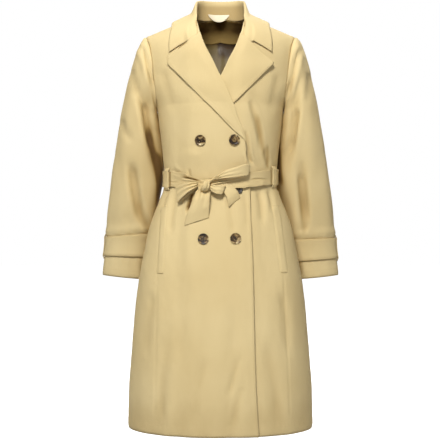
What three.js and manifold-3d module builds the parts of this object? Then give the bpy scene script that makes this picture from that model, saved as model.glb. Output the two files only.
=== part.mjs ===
import * as THREE from 'three';
import Module from 'manifold-3d';
import { mergeVertices } from 'three/addons/utils/BufferGeometryUtils.js';

// Belted double-breasted trench coat, worn but with nobody in it.
// Millimetres, +Z up, the front faces -Y, the origin is level with the neck points.
// "Right" and "left" are the wearer's: right is -X, left is +X.

// Driving sizes
const clothThickness = 1.5;
const seamGap = 0.25;
const sectionPower = 2.2;
const shoulderTipZ = -50;
const shoulderCentreZ = 28;
const shoulderSlope = 0.402;
const slantFadeDrop = 220;
const ridgeRadiusFront = 80;
const ridgeRadiusBack = 85;
const hemDrop = 1008;
const underarmDrop = 190;
const underlapEnd = -62;
const buttonRadius = 14;
const buttonThickness = 3.2;
const beltWidth = 40;
const beltThickness = 2.4;
const cuffStrapTop = 0.842;
const cuffStrapBottom = 0.93;

const wasm = await Module();
wasm.setup();

const vec = (x, y, z) => new THREE.Vector3(x, y, z);
const mix = (a, b, t) => a + (b - a) * t;
const clamp01 = (t) => Math.min(1, Math.max(0, t));
const smooth = (t) => {
  const c = clamp01(t);
  return c * c * (3 - 2 * c);
};

// Smooth lookup in a table of rows, without overshoot between the rows
function lookup(table, key, column, at) {
  const last = table.length - 1;
  if (at <= table[0][key]) {
    return table[0][column];
  }
  if (at >= table[last][key]) {
    return table[last][column];
  }
  let i = 0;
  while (table[i + 1][key] < at) {
    i += 1;
  }
  const slope = (k) => {
    const span = table[k + 1][key] - table[k][key];
    return (table[k + 1][column] - table[k][column]) / span;
  };
  const tangent = (k) => {
    if (k === 0) {
      return slope(0);
    }
    if (k === last) {
      return slope(last - 1);
    }
    const before = slope(k - 1);
    const after = slope(k);
    return before * after <= 0 ? 0 : (2 * before * after) / (before + after);
  };
  const span = table[i + 1][key] - table[i][key];
  const t = (at - table[i][key]) / span;
  const t2 = t * t;
  const t3 = t2 * t;
  return (2 * t3 - 3 * t2 + 1) * table[i][column] + (t3 - 2 * t2 + t) * span * tangent(i)
    + (3 * t2 - 2 * t3) * table[i + 1][column] + (t3 - t2) * span * tangent(i + 1);
}

// Body sections by their drop below the shoulder tip: half width, front and back depth,
// and how much of the depth the armhole edge takes
const bodyRows = [
  { drop: 0, half: 205, front: 88, back: 92, arm: 0.373 },
  { drop: 15, half: 200, front: 98, back: 99, arm: 0.39 },
  { drop: 45, half: 193, front: 110, back: 105, arm: 0.41 },
  { drop: 90, half: 191, front: 120, back: 110, arm: 0.467 },
  { drop: 130, half: 186, front: 124, back: 110, arm: 0.468 },
  { drop: 160, half: 175, front: 125, back: 108, arm: 0.384 },
  { drop: 178, half: 167, front: 124, back: 106, arm: 0.242 },
  { drop: 187, half: 164, front: 123, back: 105, arm: 0.106 },
  { drop: 190, half: 163.5, front: 123, back: 105, arm: 0 },
  { drop: 241, half: 157.5, front: 119, back: 101, arm: 0 },
  { drop: 312, half: 149, front: 111, back: 93, arm: 0 },
  { drop: 371, half: 145, front: 103, back: 87, arm: 0 },
  { drop: 395, half: 147, front: 107, back: 91, arm: 0 },
  { drop: 423, half: 157, front: 113, back: 99, arm: 0 },
  { drop: 462, half: 173, front: 120, back: 108, arm: 0 },
  { drop: 501, half: 186, front: 126, back: 116, arm: 0 },
  { drop: 574, half: 201, front: 136, back: 128, arm: 0 },
  { drop: 636, half: 213, front: 143, back: 136, arm: 0 },
  { drop: 730, half: 223, front: 151, back: 145, arm: 0 },
  { drop: 824, half: 230, front: 157, back: 151, arm: 0 },
  { drop: 917, half: 236, front: 163, back: 157, arm: 0 },
  { drop: 1008, half: 238, front: 168, back: 162, arm: 0 },
];

// Inner edge of a front: down the roll line to the break, then the front edge.
// Positive is on the front's own side of the middle.
const frontEdge = [
  { drop: 0, inner: 66 },
  { drop: 12, inner: 63 },
  { drop: 27, inner: 58.7 },
  { drop: 52, inner: 51.9 },
  { drop: 81, inner: 39.9 },
  { drop: 110, inner: 21.2 },
  { drop: 137, inner: 3.7 },
  { drop: 152, inner: -8.7 },
  { drop: 188, inner: -29.9 },
  { drop: 219, inner: -41 },
  { drop: 251, inner: -53.5 },
  { drop: 281, inner: -61 },
  { drop: 308, inner: -63.5 },
  { drop: 371, inner: -74 },
  { drop: 400, inner: -73.4 },
  { drop: 599, inner: -80.6 },
  { drop: 843, inner: -86 },
  { drop: 1008, inner: -94 },
];

// Back neck seam: how far from the centre back seam it is at each drop
const backNeck = [
  { drop: 0, inner: 66 },
  { drop: 3, inner: 60 },
  { drop: 6.5, inner: 51 },
  { drop: 10, inner: 38 },
  { drop: 12.5, inner: 24 },
  { drop: 14.5, inner: seamGap },
];

// Soft folds of the skirt and above the belt: where each runs, how deep and how wide
const folds = [
  { face: -1, topX: -100, topDrop: 385, endX: -128, endDrop: 700, depth: -5, width: 26 },
  { face: -1, topX: 96, topDrop: 385, endX: 118, endDrop: 640, depth: -5, width: 24 },
  { face: -1, topX: -18, topDrop: 400, endX: -30, endDrop: 820, depth: -3, width: 24 },
  { face: -1, topX: 42, topDrop: 700, endX: 30, endDrop: 1008, depth: -4, width: 26 },
  { face: -1, topX: -120, topDrop: 800, endX: -134, endDrop: 1008, depth: 5, width: 26 },
  { face: -1, topX: 92, topDrop: 150, endX: 112, endDrop: 372, depth: -5, width: 20 },
  { face: -1, topX: -70, topDrop: 300, endX: -96, endDrop: 372, depth: 5, width: 26 },
  { face: 1, topX: -62, topDrop: 385, endX: -96, endDrop: 1008, depth: -7, width: 28 },
  { face: 1, topX: 62, topDrop: 385, endX: 96, endDrop: 1008, depth: -7, width: 28 },
  { face: 1, topX: 0, topDrop: 230, endX: 0, endDrop: 372, depth: 6, width: 40 },
];

const shoulderZ = (x) => shoulderCentreZ - shoulderSlope * Math.abs(x);
const atDrop = (column, drop) => lookup(bodyRows, 'drop', column, drop);
const depthColumn = (face) => (face < 0 ? 'front' : 'back');

function heightOf(x, drop) {
  const slant = shoulderZ(x) - shoulderTipZ;
  return shoulderTipZ - drop + slant * (1 - smooth(drop / slantFadeDrop));
}

function dropOf(x, z) {
  let low = 0;
  let high = hemDrop + 40;
  for (let i = 0; i < 30; i += 1) {
    const middle = (low + high) / 2;
    if (heightOf(x, middle) > z) {
      low = middle;
    } else {
      high = middle;
    }
  }
  return (low + high) / 2;
}

function foldDepth(face, x, drop) {
  let sum = 0;
  for (const fold of folds) {
    const along = (drop - fold.topDrop) / (fold.endDrop - fold.topDrop);
    const away = (x - mix(fold.topX, fold.endX, along)) / fold.width;
    const ends = smooth((along + 0.12) / 0.3) * smooth((1.12 - along) / 0.3);
    if (fold.face === face) {
      sum += fold.depth * Math.exp(-away * away) * ends;
    }
  }
  return sum;
}

// How far the cloth goes out from the middle at a section angle
function bodyPoint(face, side, angle, drop) {
  const c = Math.cos(angle);
  const half = atDrop('half', drop);
  const x = side * half * Math.sign(c) * Math.abs(c) ** (2 / sectionPower);
  const z = heightOf(x, drop);
  const radius = face < 0 ? ridgeRadiusFront : ridgeRadiusBack;
  const round = 1 - clamp01((shoulderZ(x) - z) / radius);
  const reach = Math.sqrt(Math.max(0, 1 - round * round));
  const across = Math.max(0, Math.sin(angle)) ** (2 / sectionPower);
  const depth = atDrop(depthColumn(face), drop) + foldDepth(face, x, drop) * across;
  return vec(x, face * depth * across * reach, z);
}

function angleOf(x, drop) {
  const share = Math.min(1, Math.abs(x) / atDrop('half', drop));
  return Math.acos(Math.sign(x) * share ** (sectionPower / 2));
}

function normalAt(face, side, angle, drop) {
  const step = 0.02;
  const a = bodyPoint(face, side, angle - step, drop);
  const b = bodyPoint(face, side, angle + step, drop);
  const c = bodyPoint(face, side, angle, Math.max(0, drop - 2));
  const d = bodyPoint(face, side, angle, drop + 2);
  const normal = b.sub(a).cross(d.sub(c)).normalize();
  const here = bodyPoint(face, side, angle, drop);
  const outward = vec(here.x, here.y * 2, drop < 12 ? 60 : 0);
  return normal.dot(outward) < 0 ? normal.negate() : normal;
}

// A point lying off the cloth at a place seen from the front (face -1) or back (face 1)
function onBody(face, x, z, lift) {
  const drop = dropOf(x, z);
  const side = x < 0 ? -1 : 1;
  const angle = angleOf(Math.abs(x), drop);
  const normal = normalAt(face, side, angle, drop);
  return bodyPoint(face, side, angle, drop).addScaledVector(normal, lift);
}

// Moves a point out until it stands off the cloth by at least the clearance
function keepOff(point, clearance) {
  const face = point.y < 0 ? -1 : 1;
  const side = point.x < 0 ? -1 : 1;
  let nearest = Infinity;
  let foot = null;
  let normal = null;
  for (let drop = 0; drop < 130; drop += 1.5) {
    const angle = angleOf(Math.abs(point.x), drop);
    const here = bodyPoint(face, side, angle, drop);
    const gap = here.distanceTo(point);
    if (gap < nearest) {
      nearest = gap;
      foot = here;
      normal = normalAt(face, side, angle, drop);
    }
  }
  const height = point.clone().sub(foot).dot(normal);
  return height < clearance ? point.addScaledVector(normal, clearance - height) : point;
}

// The right front lies over the left one, and over its lapel higher up
function overlapLift(x, drop) {
  const across = smooth((x + 112) / 44);
  const down = mix(7, 5, smooth((drop - 290) / 60)) * smooth((drop - 40) / 60);
  return across * down;
}

// The same, faded out past the front edge for what lies over both fronts
function frontLift(x, drop) {
  return overlapLift(x, drop) * smooth((128 - x) / 30);
}

function gridNormals(grid, closed) {
  const rows = grid.length;
  const columns = grid[0].length;
  return grid.map((row, i) => row.map((point, j) => {
    const up = grid[Math.max(0, i - 1)][j];
    const down = grid[Math.min(rows - 1, i + 1)][j];
    const before = closed ? row[(j + columns - 1) % columns] : row[Math.max(0, j - 1)];
    const after = closed ? row[(j + 1) % columns] : row[Math.min(columns - 1, j + 1)];
    return after.clone().sub(before).cross(down.clone().sub(up)).normalize();
  }));
}

// A cloth wall: the grid is its outer face, the inner face lies one thickness inward
function clothWall(grid, thickness, outward, closed, fixNormal) {
  const normals = gridNormals(grid, closed);
  let facing = 0;
  grid.forEach((row, i) => row.forEach((point, j) => {
    facing += normals[i][j].dot(outward(point, i, j));
  }));
  const sign = facing < 0 ? -1 : 1;
  const inner = grid.map((row, i) => row.map((point, j) => {
    const normal = normals[i][j].multiplyScalar(sign);
    const used = fixNormal ? fixNormal(normal, i, j) : normal;
    return point.clone().addScaledVector(used, -thickness);
  }));
  return skin(grid, inner, closed);
}

function skin(outer, inner, closed) {
  const rows = outer.length;
  const columns = outer[0].length;
  const positions = [];
  outer.forEach((row) => row.forEach((p) => positions.push(p.x, p.y, p.z)));
  inner.forEach((row) => row.forEach((p) => positions.push(p.x, p.y, p.z)));
  const shift = rows * columns;
  const index = [];
  const at = (i, j) => i * columns + (j % columns);
  const quad = (a, b, c, d) => index.push(a, b, c, a, c, d);
  const span = closed ? columns : columns - 1;
  for (let i = 0; i + 1 < rows; i += 1) {
    for (let j = 0; j < span; j += 1) {
      quad(at(i, j), at(i, j + 1), at(i + 1, j + 1), at(i + 1, j));
      quad(shift + at(i, j), shift + at(i + 1, j), shift + at(i + 1, j + 1), shift + at(i, j + 1));
    }
  }
  for (let j = 0; j < span; j += 1) {
    quad(at(0, j), shift + at(0, j), shift + at(0, j + 1), at(0, j + 1));
    quad(at(rows - 1, j), at(rows - 1, j + 1), shift + at(rows - 1, j + 1), shift + at(rows - 1, j));
  }
  if (!closed) {
    for (let i = 0; i + 1 < rows; i += 1) {
      quad(at(i, 0), at(i + 1, 0), shift + at(i + 1, 0), shift + at(i, 0));
      const j = columns - 1;
      quad(at(i, j), shift + at(i, j), shift + at(i + 1, j), at(i + 1, j));
    }
  }
  const geometry = new THREE.BufferGeometry();
  geometry.setAttribute('position', new THREE.Float32BufferAttribute(positions, 3));
  geometry.setIndex(index);
  return facedOut(geometry);
}

function facedOut(geometry) {
  const p = geometry.attributes.position;
  const index = geometry.index.array;
  const a = vec(0, 0, 0);
  const b = vec(0, 0, 0);
  const c = vec(0, 0, 0);
  let volume = 0;
  for (let i = 0; i < index.length; i += 3) {
    a.fromBufferAttribute(p, index[i]);
    b.fromBufferAttribute(p, index[i + 1]);
    c.fromBufferAttribute(p, index[i + 2]);
    volume += a.dot(b.cross(c));
  }
  if (volume < 0) {
    for (let i = 0; i < index.length; i += 3) {
      const swap = index[i + 1];
      index[i + 1] = index[i + 2];
      index[i + 2] = swap;
    }
  }
  geometry.computeVertexNormals();
  return geometry;
}

const colours = {
  cloth: { color: 0xd3bd8b, roughness: 0.85, metalness: 0 },
  lining: { color: 0x75623c, roughness: 0.8, metalness: 0 },
  label: { color: 0xf4edd6, roughness: 0.8, metalness: 0 },
  button: { color: 0x5a3a22, roughness: 0.35, metalness: 0 },
};
const coat = new THREE.Group();
coat.name = 'trench_coat';

function add(name, geometry, look = 'cloth') {
  const mesh = new THREE.Mesh(geometry, new THREE.MeshStandardMaterial(colours[look]));
  mesh.name = name;
  coat.add(mesh);
}

// Body panels
const drops = [0, 3, 6.5, 10, 14.5, 27, 45, 66, 90, 112, 137, 155, 170, 181, 187, 190,
  219, 251, 281, 308, 335, 357, 371, 385, 402, 430, 470, 520, 580, 650, 730, 820, 920, 1008];
const armRows = drops.indexOf(underarmDrop);
const panelColumns = 9;
const outFromAxis = (p) => vec(p.x, p.y * 1.5, 0);

function panelGrid(face, side, edge) {
  return drops.map((drop) => {
    const cut = face > 0 && drop >= 14.5 ? seamGap : lookup(edge, 'drop', 'inner', drop);
    const inner = side > 0 ? Math.max(cut, underlapEnd) : cut;
    const start = angleOf(inner, drop);
    const end = Math.asin(atDrop('arm', drop) ** (sectionPower / 2));
    const row = [];
    for (let j = 0; j <= panelColumns; j += 1) {
      const angle = mix(start, end, j / panelColumns);
      const point = bodyPoint(face, side, angle, drop);
      if (face < 0 && side < 0) {
        const normal = normalAt(face, side, angle, drop);
        point.addScaledVector(normal, overlapLift(point.x, drop));
      }
      row.push(point);
    }
    return row;
  });
}

function seamed(grid, face) {
  grid.forEach((row, i) => {
    if (i === 0) {
      row.forEach((point) => {
        point.y = face * seamGap;
      });
    }
    if (i >= armRows) {
      row[panelColumns].y = face * seamGap;
    }
  });
  return grid;
}

function panelWall(grid, face) {
  return clothWall(grid, clothThickness, outFromAxis, false, (normal, i, j) => {
    if (i === 0) {
      normal.y = 0;
      normal.x *= 0.6;
    }
    if (j === panelColumns && i >= armRows) {
      normal.y = 0;
    }
    if (j === 0 && face > 0 && i >= 4) {
      normal.x = 0;
    }
    return normal.normalize();
  });
}

const panels = {};
for (const [name, face, side, edge] of [
  ['front_right', -1, -1, frontEdge],
  ['front_left', -1, 1, frontEdge],
  ['back_right', 1, -1, backNeck],
  ['back_left', 1, 1, backNeck],
]) {
  panels[name] = seamed(panelGrid(face, side, edge), face);
  add(name, panelWall(panels[name], face));
}

// Sleeves: outermost and innermost point of each ring, its middle and half depth front to back
const sleeveRings = [
  { outX: 203, outZ: -59, inX: 166.5, inZ: -245, middle: 0, depth: 61, blend: 0.25 },
  { outX: 214, outZ: -82, inX: 167, inZ: -253, middle: 1, depth: 63, blend: 0.5 },
  { outX: 226, outZ: -116, inX: 164.5, inZ: -264, middle: 3, depth: 64, blend: 0.75 },
  { outX: 239, outZ: -162, inX: 161.5, inZ: -279, middle: 6, depth: 65, blend: 1 },
  { outX: 251, outZ: -213, inX: 159, inZ: -299, middle: 10, depth: 64, blend: 1 },
  { outX: 263, outZ: -272, inX: 156, inZ: -328, middle: 16, depth: 63, blend: 1 },
  { outX: 275, outZ: -342, inX: 152.8, inZ: -368, middle: 26, depth: 60, blend: 1 },
  { outX: 287, outZ: -415, inX: 156.5, inZ: -430, middle: 40, depth: 56, blend: 1 },
  { outX: 297, outZ: -490, inX: 167, inZ: -504, middle: 56, depth: 51, blend: 1 },
  { outX: 304, outZ: -552, inX: 178, inZ: -566, middle: 72, depth: 46, blend: 1 },
  { outX: 310, outZ: -612, inX: 189, inZ: -625, middle: 80, depth: 42, blend: 1 },
  { outX: 316, outZ: -672, inX: 199, inZ: -684, middle: 88, depth: 38, blend: 1 },
];
const ringPoints = armRows * 2;

// Sleeve folds: face, line from top to end, depth, width, and the share that stays sunk inwards
const sleeveFolds = [
  { side: -1, face: -1, topX: -204, topZ: -200, endX: -164, endZ: -390, depth: 17, width: 17, sunk: 1 },
  { side: -1, face: -1, topX: -232, topZ: -390, endX: -211, endZ: -520, depth: 7, width: 17, sunk: 0.3 },
  { side: 1, face: -1, topX: 192, topZ: -190, endX: 168, endZ: -400, depth: 12, width: 17, sunk: 1 },
  { side: 1, face: -1, topX: 210, topZ: -390, endX: 224, endZ: -522, depth: 9, width: 15, sunk: 0.2 },
  { side: -1, face: 1, topX: -214, topZ: -220, endX: -176, endZ: -400, depth: 12, width: 18, sunk: 1 },
  { side: 1, face: 1, topX: 216, topZ: -210, endX: 178, endZ: -390, depth: 12, width: 18, sunk: 1 },
];

function sleeveFold(side, face, x, z) {
  let total = 0;
  for (const fold of sleeveFolds) {
    if (fold.side !== side || fold.face !== face) {
      continue;
    }
    const along = (z - fold.topZ) / (fold.endZ - fold.topZ);
    const inward = -side * (x - mix(fold.topX, fold.endX, along));
    const trough = Math.exp(-((inward / fold.width) ** 2));
    const profile = inward < 0 ? trough : mix(trough, 1, fold.sunk);
    total += fold.depth * profile * smooth((along + 0.25) / 0.5) * smooth((1.25 - along) / 0.5);
  }
  return total;
}

function armholeLoop(side) {
  const name = side < 0 ? 'right' : 'left';
  const front = panels[`front_${name}`];
  const back = panels[`back_${name}`];
  const loop = [];
  for (let k = 0; k < ringPoints; k += 1) {
    const useFront = k <= armRows;
    const i = useFront ? k : ringPoints - k;
    const grid = useFront ? front : back;
    const edge = grid[i][panelColumns].clone();
    const across = edge.clone().sub(grid[i][panelColumns - 1]);
    if (i === 0) {
      across.y = 0;
      edge.y = 0;
    }
    if (i === armRows) {
      across.set(side * 0.2, 0, -1);
      edge.y = 0;
    }
    const pull = i > 0 && i < armRows ? smooth((i - 9) / 6) : 0;
    across.normalize().lerp(vec(side * 0.55, 0, -0.83), pull).normalize();
    loop.push({ point: edge.addScaledVector(across, i < 4 ? 1.1 : 0.7), across });
  }
  return loop;
}

function ringAngles() {
  const even = [];
  for (let k = 0; k < ringPoints; k += 1) {
    even.push((k / ringPoints) * Math.PI * 2);
  }
  return even;
}

function sleeveRing(side, ring, start) {
  const inner = vec(side * ring.inX, ring.middle, ring.inZ);
  const outer = vec(side * ring.outX, ring.middle, ring.outZ);
  const centre = inner.clone().lerp(outer, 0.5);
  const reach = outer.clone().sub(centre);
  return ringAngles().map((angle, k) => {
    const away = start[k].point.clone().sub(start.centre);
    const armAngle = Math.atan2(-away.y / 58, away.dot(start.up) / 96);
    const turn = armAngle < -1e-6 ? armAngle + Math.PI * 2 : armAngle;
    const used = k === 0 ? 0 : mix(turn, angle, smooth(ring.blend));
    const point = centre.clone().addScaledVector(reach, Math.cos(used));
    const face = Math.sin(used) > 0 ? -1 : 1;
    const depth = ring.depth - sleeveFold(side, face, point.x, point.z) * ring.blend;
    return point.add(vec(0, -Math.sin(used) * depth, 0));
  });
}

function sleeveGrid(side) {
  const start = armholeLoop(side);
  const top = start[0].point;
  const bottom = start[armRows].point;
  start.centre = top.clone().lerp(bottom, 0.5);
  start.up = top.clone().sub(bottom).normalize();
  const rows = sleeveRings.map((ring) => sleeveRing(side, ring, start));
  return [start.map((s) => s.point), ...rows];
}

const sleeves = {};
for (const side of [-1, 1]) {
  const name = side < 0 ? 'right' : 'left';
  const grid = sleeveGrid(side);
  sleeves[name] = grid;
  const middles = grid.map((row) => row[0].clone().lerp(row[armRows], 0.5));
  const wall = clothWall(grid, clothThickness, (p, i) => p.clone().sub(middles[i]), true);
  add(`sleeve_${name}`, wall);
}

// A place on the sleeve by its share of the length, moved out from the middle of its ring
function onSleeve(side, share, k, lift) {
  const grid = sleeves[side < 0 ? 'right' : 'left'];
  const at = share * (grid.length - 1);
  const i = Math.min(grid.length - 2, Math.floor(at));
  const point = grid[i][k].clone().lerp(grid[i + 1][k], at - i);
  const middle = grid[i][0].clone().lerp(grid[i + 1][0], at - i);
  middle.lerp(grid[i][armRows].clone().lerp(grid[i + 1][armRows], at - i), 0.5);
  const out = point.clone().sub(middle).normalize();
  return point.addScaledVector(out, lift);
}

// Wide sleeve straps, each held by a keeper at the outer side
for (const side of [-1, 1]) {
  const name = side < 0 ? 'right' : 'left';
  const strap = [];
  for (let i = 0; i <= 4; i += 1) {
    const row = [];
    const share = mix(cuffStrapTop, cuffStrapBottom, i / 4);
    for (let k = 0; k < ringPoints; k += 1) {
      row.push(onSleeve(side, share, k, 2.35));
    }
    strap.push(row);
  }
  const centre = strap[2][0].clone().lerp(strap[2][armRows], 0.5);
  add(`cuff_strap_${name}`, clothWall(strap, 1.8, (p) => p.clone().sub(centre), true));
  const keeper = [];
  const keeperTop = cuffStrapTop - 0.014;
  const keeperEnd = cuffStrapBottom + 0.014;
  for (let i = 0; i <= 10; i += 1) {
    const share = mix(keeperTop, keeperEnd, i / 10);
    const over = smooth(Math.min(i, 10 - i) / 1.6);
    const middle = onSleeve(side, share, 0, mix(2.1, 4.9, over));
    const ahead = onSleeve(side, share, 1, mix(2.1, 4.9, over)).sub(middle);
    ahead.setLength(6);
    const behind = onSleeve(side, share, ringPoints - 1, mix(2.1, 4.9, over)).sub(middle);
    behind.setLength(6);
    keeper.push([middle.clone().add(behind), middle.clone(), middle.clone().add(ahead)]);
  }
  add(`strap_keeper_${name}`, clothWall(keeper, 1.6, () => vec(side, 0, 0), false));
}

// Collar: seam, roll, knee of the fall and outer edge, from the centre back to the notch
const collarStations = [
  { at: 0, seamX: 0, seamY: 57, seamZ: 10.6, rollX: 0, rollY: 62, rollZ: 51,
    kneeX: 0, kneeY: 80, kneeZ: 24, edgeX: 0, edgeY: 91, edgeZ: -14 },
  { at: 0.26, seamX: 42, seamY: 38, seamZ: 8.3, rollX: 40, rollY: 45, rollZ: 50,
    kneeX: 54, kneeY: 58, kneeZ: 20, edgeX: 70, edgeY: 68, edgeZ: -13 },
  { at: 0.5, seamX: 65.6, seamY: 2, seamZ: 0.9, rollX: 58, rollY: 6, rollZ: 40,
    kneeX: 77, kneeY: 8, kneeZ: 13, edgeX: 118, edgeY: 8, edgeZ: -11 },
  { at: 0.66, seamX: 62.5, seamY: -33, seamZ: -6, rollX: 60, rollY: -30, rollZ: 13,
    kneeX: 80, kneeY: -34, kneeZ: -3, edgeX: 125, edgeY: -36, edgeZ: -21 },
  { at: 0.82, seamX: 58.5, seamY: -58, seamZ: -25, rollX: 57.5, rollY: -60, rollZ: -18,
    kneeX: 84, kneeY: -68, kneeZ: -35, edgeX: 126.5, edgeY: -66, edgeZ: -53 },
  { at: 1, seamX: 53, seamY: -79, seamZ: -50, rollX: 51.5, rollY: -82, rollZ: -50,
    kneeX: 80, kneeY: -94, kneeZ: -82, edgeX: 128, edgeY: -92, edgeZ: -104 },
];

function collarPoint(at, name) {
  const away = Math.abs(at);
  const level = away < 0.14 ? (away * away) / 0.28 + 0.07 : away;
  const value = (axis, where) => lookup(collarStations, 'at', name + axis, where);
  return vec(Math.sign(at) * value('X', away), value('Y', level), value('Z', level));
}

function collarSection(at) {
  const seam = collarPoint(at, 'seam');
  const roll = collarPoint(at, 'roll');
  const knee = collarPoint(at, 'knee');
  const edge = collarPoint(at, 'edge');
  const fall = knee.clone().sub(roll);
  const flat = vec(fall.x, fall.y, 0).normalize();
  const rise = Math.min(4, roll.distanceTo(seam) * 0.6);
  const turn = Math.max(2.2, Math.min(4.5, rise * 1.2));
  const section = [
    seam,
    seam.clone().lerp(roll, 0.45),
    roll.clone().lerp(seam, 0.12),
    roll.clone().addScaledVector(flat, turn * 0.4).add(vec(0, 0, turn * 0.55)),
    roll.clone().addScaledVector(flat, turn * 1.4).add(vec(0, 0, turn * 0.45)),
    keepOff(roll.clone().lerp(knee, 0.55).addScaledVector(flat, 2.2), 5.5),
    keepOff(knee.clone(), 5.5),
    keepOff(knee.clone().lerp(edge, 0.5).add(vec(0, 0, 0.6)), 5),
    keepOff(edge.clone(), 4.5),
  ];
  if (Math.abs(at) > 0.5) {
    section.slice(0, 5).forEach((point, j) => keepOff(point, 1.2 + j));
  }
  return section;
}

const collarGrid = [];
const collarColumns = 34;
for (let i = 0; i <= collarColumns; i += 1) {
  collarGrid.push(collarSection(mix(-1, 1, i / collarColumns)));
}
const collarOut = (p, i, j) => (j < 2 ? vec(-p.x, -p.y, 0) : vec(p.x, p.y, 40));
add('collar', clothWall(collarGrid, 1.6, collarOut, false));

// Lapels: outer edge from the tip to the break, on the front's own side
const lapelEdge = [
  { along: 0, x: 131.5, z: -121 },
  { along: 0.06, x: 130.5, z: -134 },
  { along: 0.22, x: 96.4, z: -169.5 },
  { along: 0.4, x: 63.6, z: -203 },
  { along: 0.62, x: 21.2, z: -246 },
  { along: 0.86, x: -28.6, z: -298 },
  { along: 1, x: -55, z: -321 },
];
const lapelTopDrop = 57;
const lapelEndDrop = 277;
const lapelRows = 14;
const lapelColumns = 7;

function lapelLift(side, across, x, along) {
  const bulge = smooth(across / 0.25) * mix(5.4, 4.2, smooth((across - 0.6) / 0.4));
  const flat = side > 0 ? smooth((x - 26) / 30) : 1;
  const tip = side > 0 ? 5 * smooth(1 - along / 0.2) * smooth((across - 0.6) / 0.4) : 0;
  return clothThickness + 1 + (bulge + tip) * mix(0.05, 1, flat) * mix(1, 0.2, along);
}

for (const side of [-1, 1]) {
  const grid = [];
  for (let i = 0; i <= lapelRows; i += 1) {
    const along = i / lapelRows;
    const rollDrop = mix(lapelTopDrop, lapelEndDrop, along);
    const rollX = side * (lookup(frontEdge, 'drop', 'inner', rollDrop) + 0.6);
    const rollZ = heightOf(rollX, rollDrop);
    const edgeX = side * lookup(lapelEdge, 'along', 'x', along);
    const edgeZ = lookup(lapelEdge, 'along', 'z', along);
    const row = [];
    for (let j = 0; j <= lapelColumns; j += 1) {
      const across = j / lapelColumns;
      const x = mix(rollX, edgeX, across);
      const sag = along < 0.3 ? -6 * Math.sin(across * Math.PI) * (1 - along / 0.3) : 0;
      const z = mix(rollZ, edgeZ, across) + sag;
      const under = side < 0 ? overlapLift(x, dropOf(x, z)) : 0;
      row.push(onBody(-1, x, z, under + lapelLift(side, across, x, along)));
    }
    grid.push(row);
  }
  const name = side < 0 ? 'right' : 'left';
  add(`lapel_${name}`, clothWall(grid, clothThickness, outFromAxis, false));
}

// Pocket welts on the skirt: their top and bottom middle, and width
const welts = [
  { name: 'right', topX: -142, topZ: -488, endX: -152, endZ: -660, width: 21 },
  { name: 'left', topX: 141, topZ: -488, endX: 160, endZ: -658, width: 21 },
];
for (const welt of welts) {
  const grid = [];
  for (let i = 0; i <= 8; i += 1) {
    const x = mix(welt.topX, welt.endX, i / 8);
    const z = mix(welt.topZ, welt.endZ, i / 8);
    const left = onBody(-1, x - welt.width / 2, z, 2.7);
    const right = onBody(-1, x + welt.width / 2, z, 2.7);
    grid.push([left, onBody(-1, x, z, 2.9), right]);
  }
  add(`pocket_welt_${welt.name}`, clothWall(grid, 1.6, outFromAxis, false));
}

// Belt band: height of its middle round the waist, seen from the front
const beltLine = [
  { x: -146, z: -420 },
  { x: -100, z: -424 },
  { x: -38, z: -435 },
  { x: 50, z: -427 },
  { x: 100, z: -420 },
  { x: 146, z: -414 },
];
const beltColumns = 52;
const beltRows = 3;

function beltPoint(turn, share, lift) {
  const around = turn * Math.PI * 2;
  const face = Math.sin(around) < 0 ? -1 : 1;
  const side = Math.cos(around) < 0 ? -1 : 1;
  const angle = Math.asin(Math.min(1, Math.abs(Math.sin(around))));
  const flatX = atDrop('half', 371) * Math.cos(around);
  const rearZ = mix(-420, -414, (flatX + 146) / 292);
  const middle = face < 0 ? lookup(beltLine, 'x', 'z', flatX) : rearZ;
  const z = middle + beltWidth * (0.5 - share);
  const drop = dropOf(flatX, z);
  const point = bodyPoint(face, side, angle, drop);
  const over = face < 0 ? frontLift(point.x, drop) : 0;
  const button = face < 0 ? 3.9 * smooth((point.x + 100) / 40) * smooth((95 - point.x) / 40) : 0;
  const normal = normalAt(face, side, angle, drop);
  return point.addScaledVector(normal, lift + over + button);
}

const beltGrid = [];
for (let i = 0; i <= beltRows; i += 1) {
  const row = [];
  for (let j = 0; j < beltColumns; j += 1) {
    row.push(beltPoint((j + 0.5) / beltColumns, i / beltRows, beltThickness + 1.2));
  }
  beltGrid.push(row);
}
add('belt_band', clothWall(beltGrid, beltThickness, outFromAxis, true));

// Belt loops at the sides
for (const [name, x, topZ, endZ] of [
  ['right', -134.5, -392, -449],
  ['left', 134.5, -387, -443],
]) {
  const grid = [];
  for (let i = 0; i <= 10; i += 1) {
    const over = smooth(Math.min(i, 10 - i) / 1.5);
    const lift = mix(2, 6.4, over);
    const z = mix(topZ, endZ, i / 10);
    grid.push([onBody(-1, x - 5, z, lift), onBody(-1, x, z, lift), onBody(-1, x + 5, z, lift)]);
  }
  add(`belt_loop_${name}`, clothWall(grid, 1.6, outFromAxis, false));
}

// Ribbons of the bow: middle line, distance off the front, width and lean of the width
function ribbon(name, stations, columns, thickness) {
  const grid = stations.map((s) => {
    const lean = (s.lean * Math.PI) / 180;
    const row = [];
    for (let j = 0; j <= columns; j += 1) {
      const across = (j / columns - 0.5) * s.width;
      const x = s.x + across * Math.cos(lean);
      const z = s.z + across * Math.sin(lean);
      const cup = s.cup * (1 - (2 * j / columns - 1) ** 2);
      row.push(onBody(-1, x, z, frontLift(x, dropOf(x, z)) + s.off + cup));
    }
    return row;
  });
  add(name, clothWall(grid, thickness, () => vec(0, -1, 0), false));
}

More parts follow.
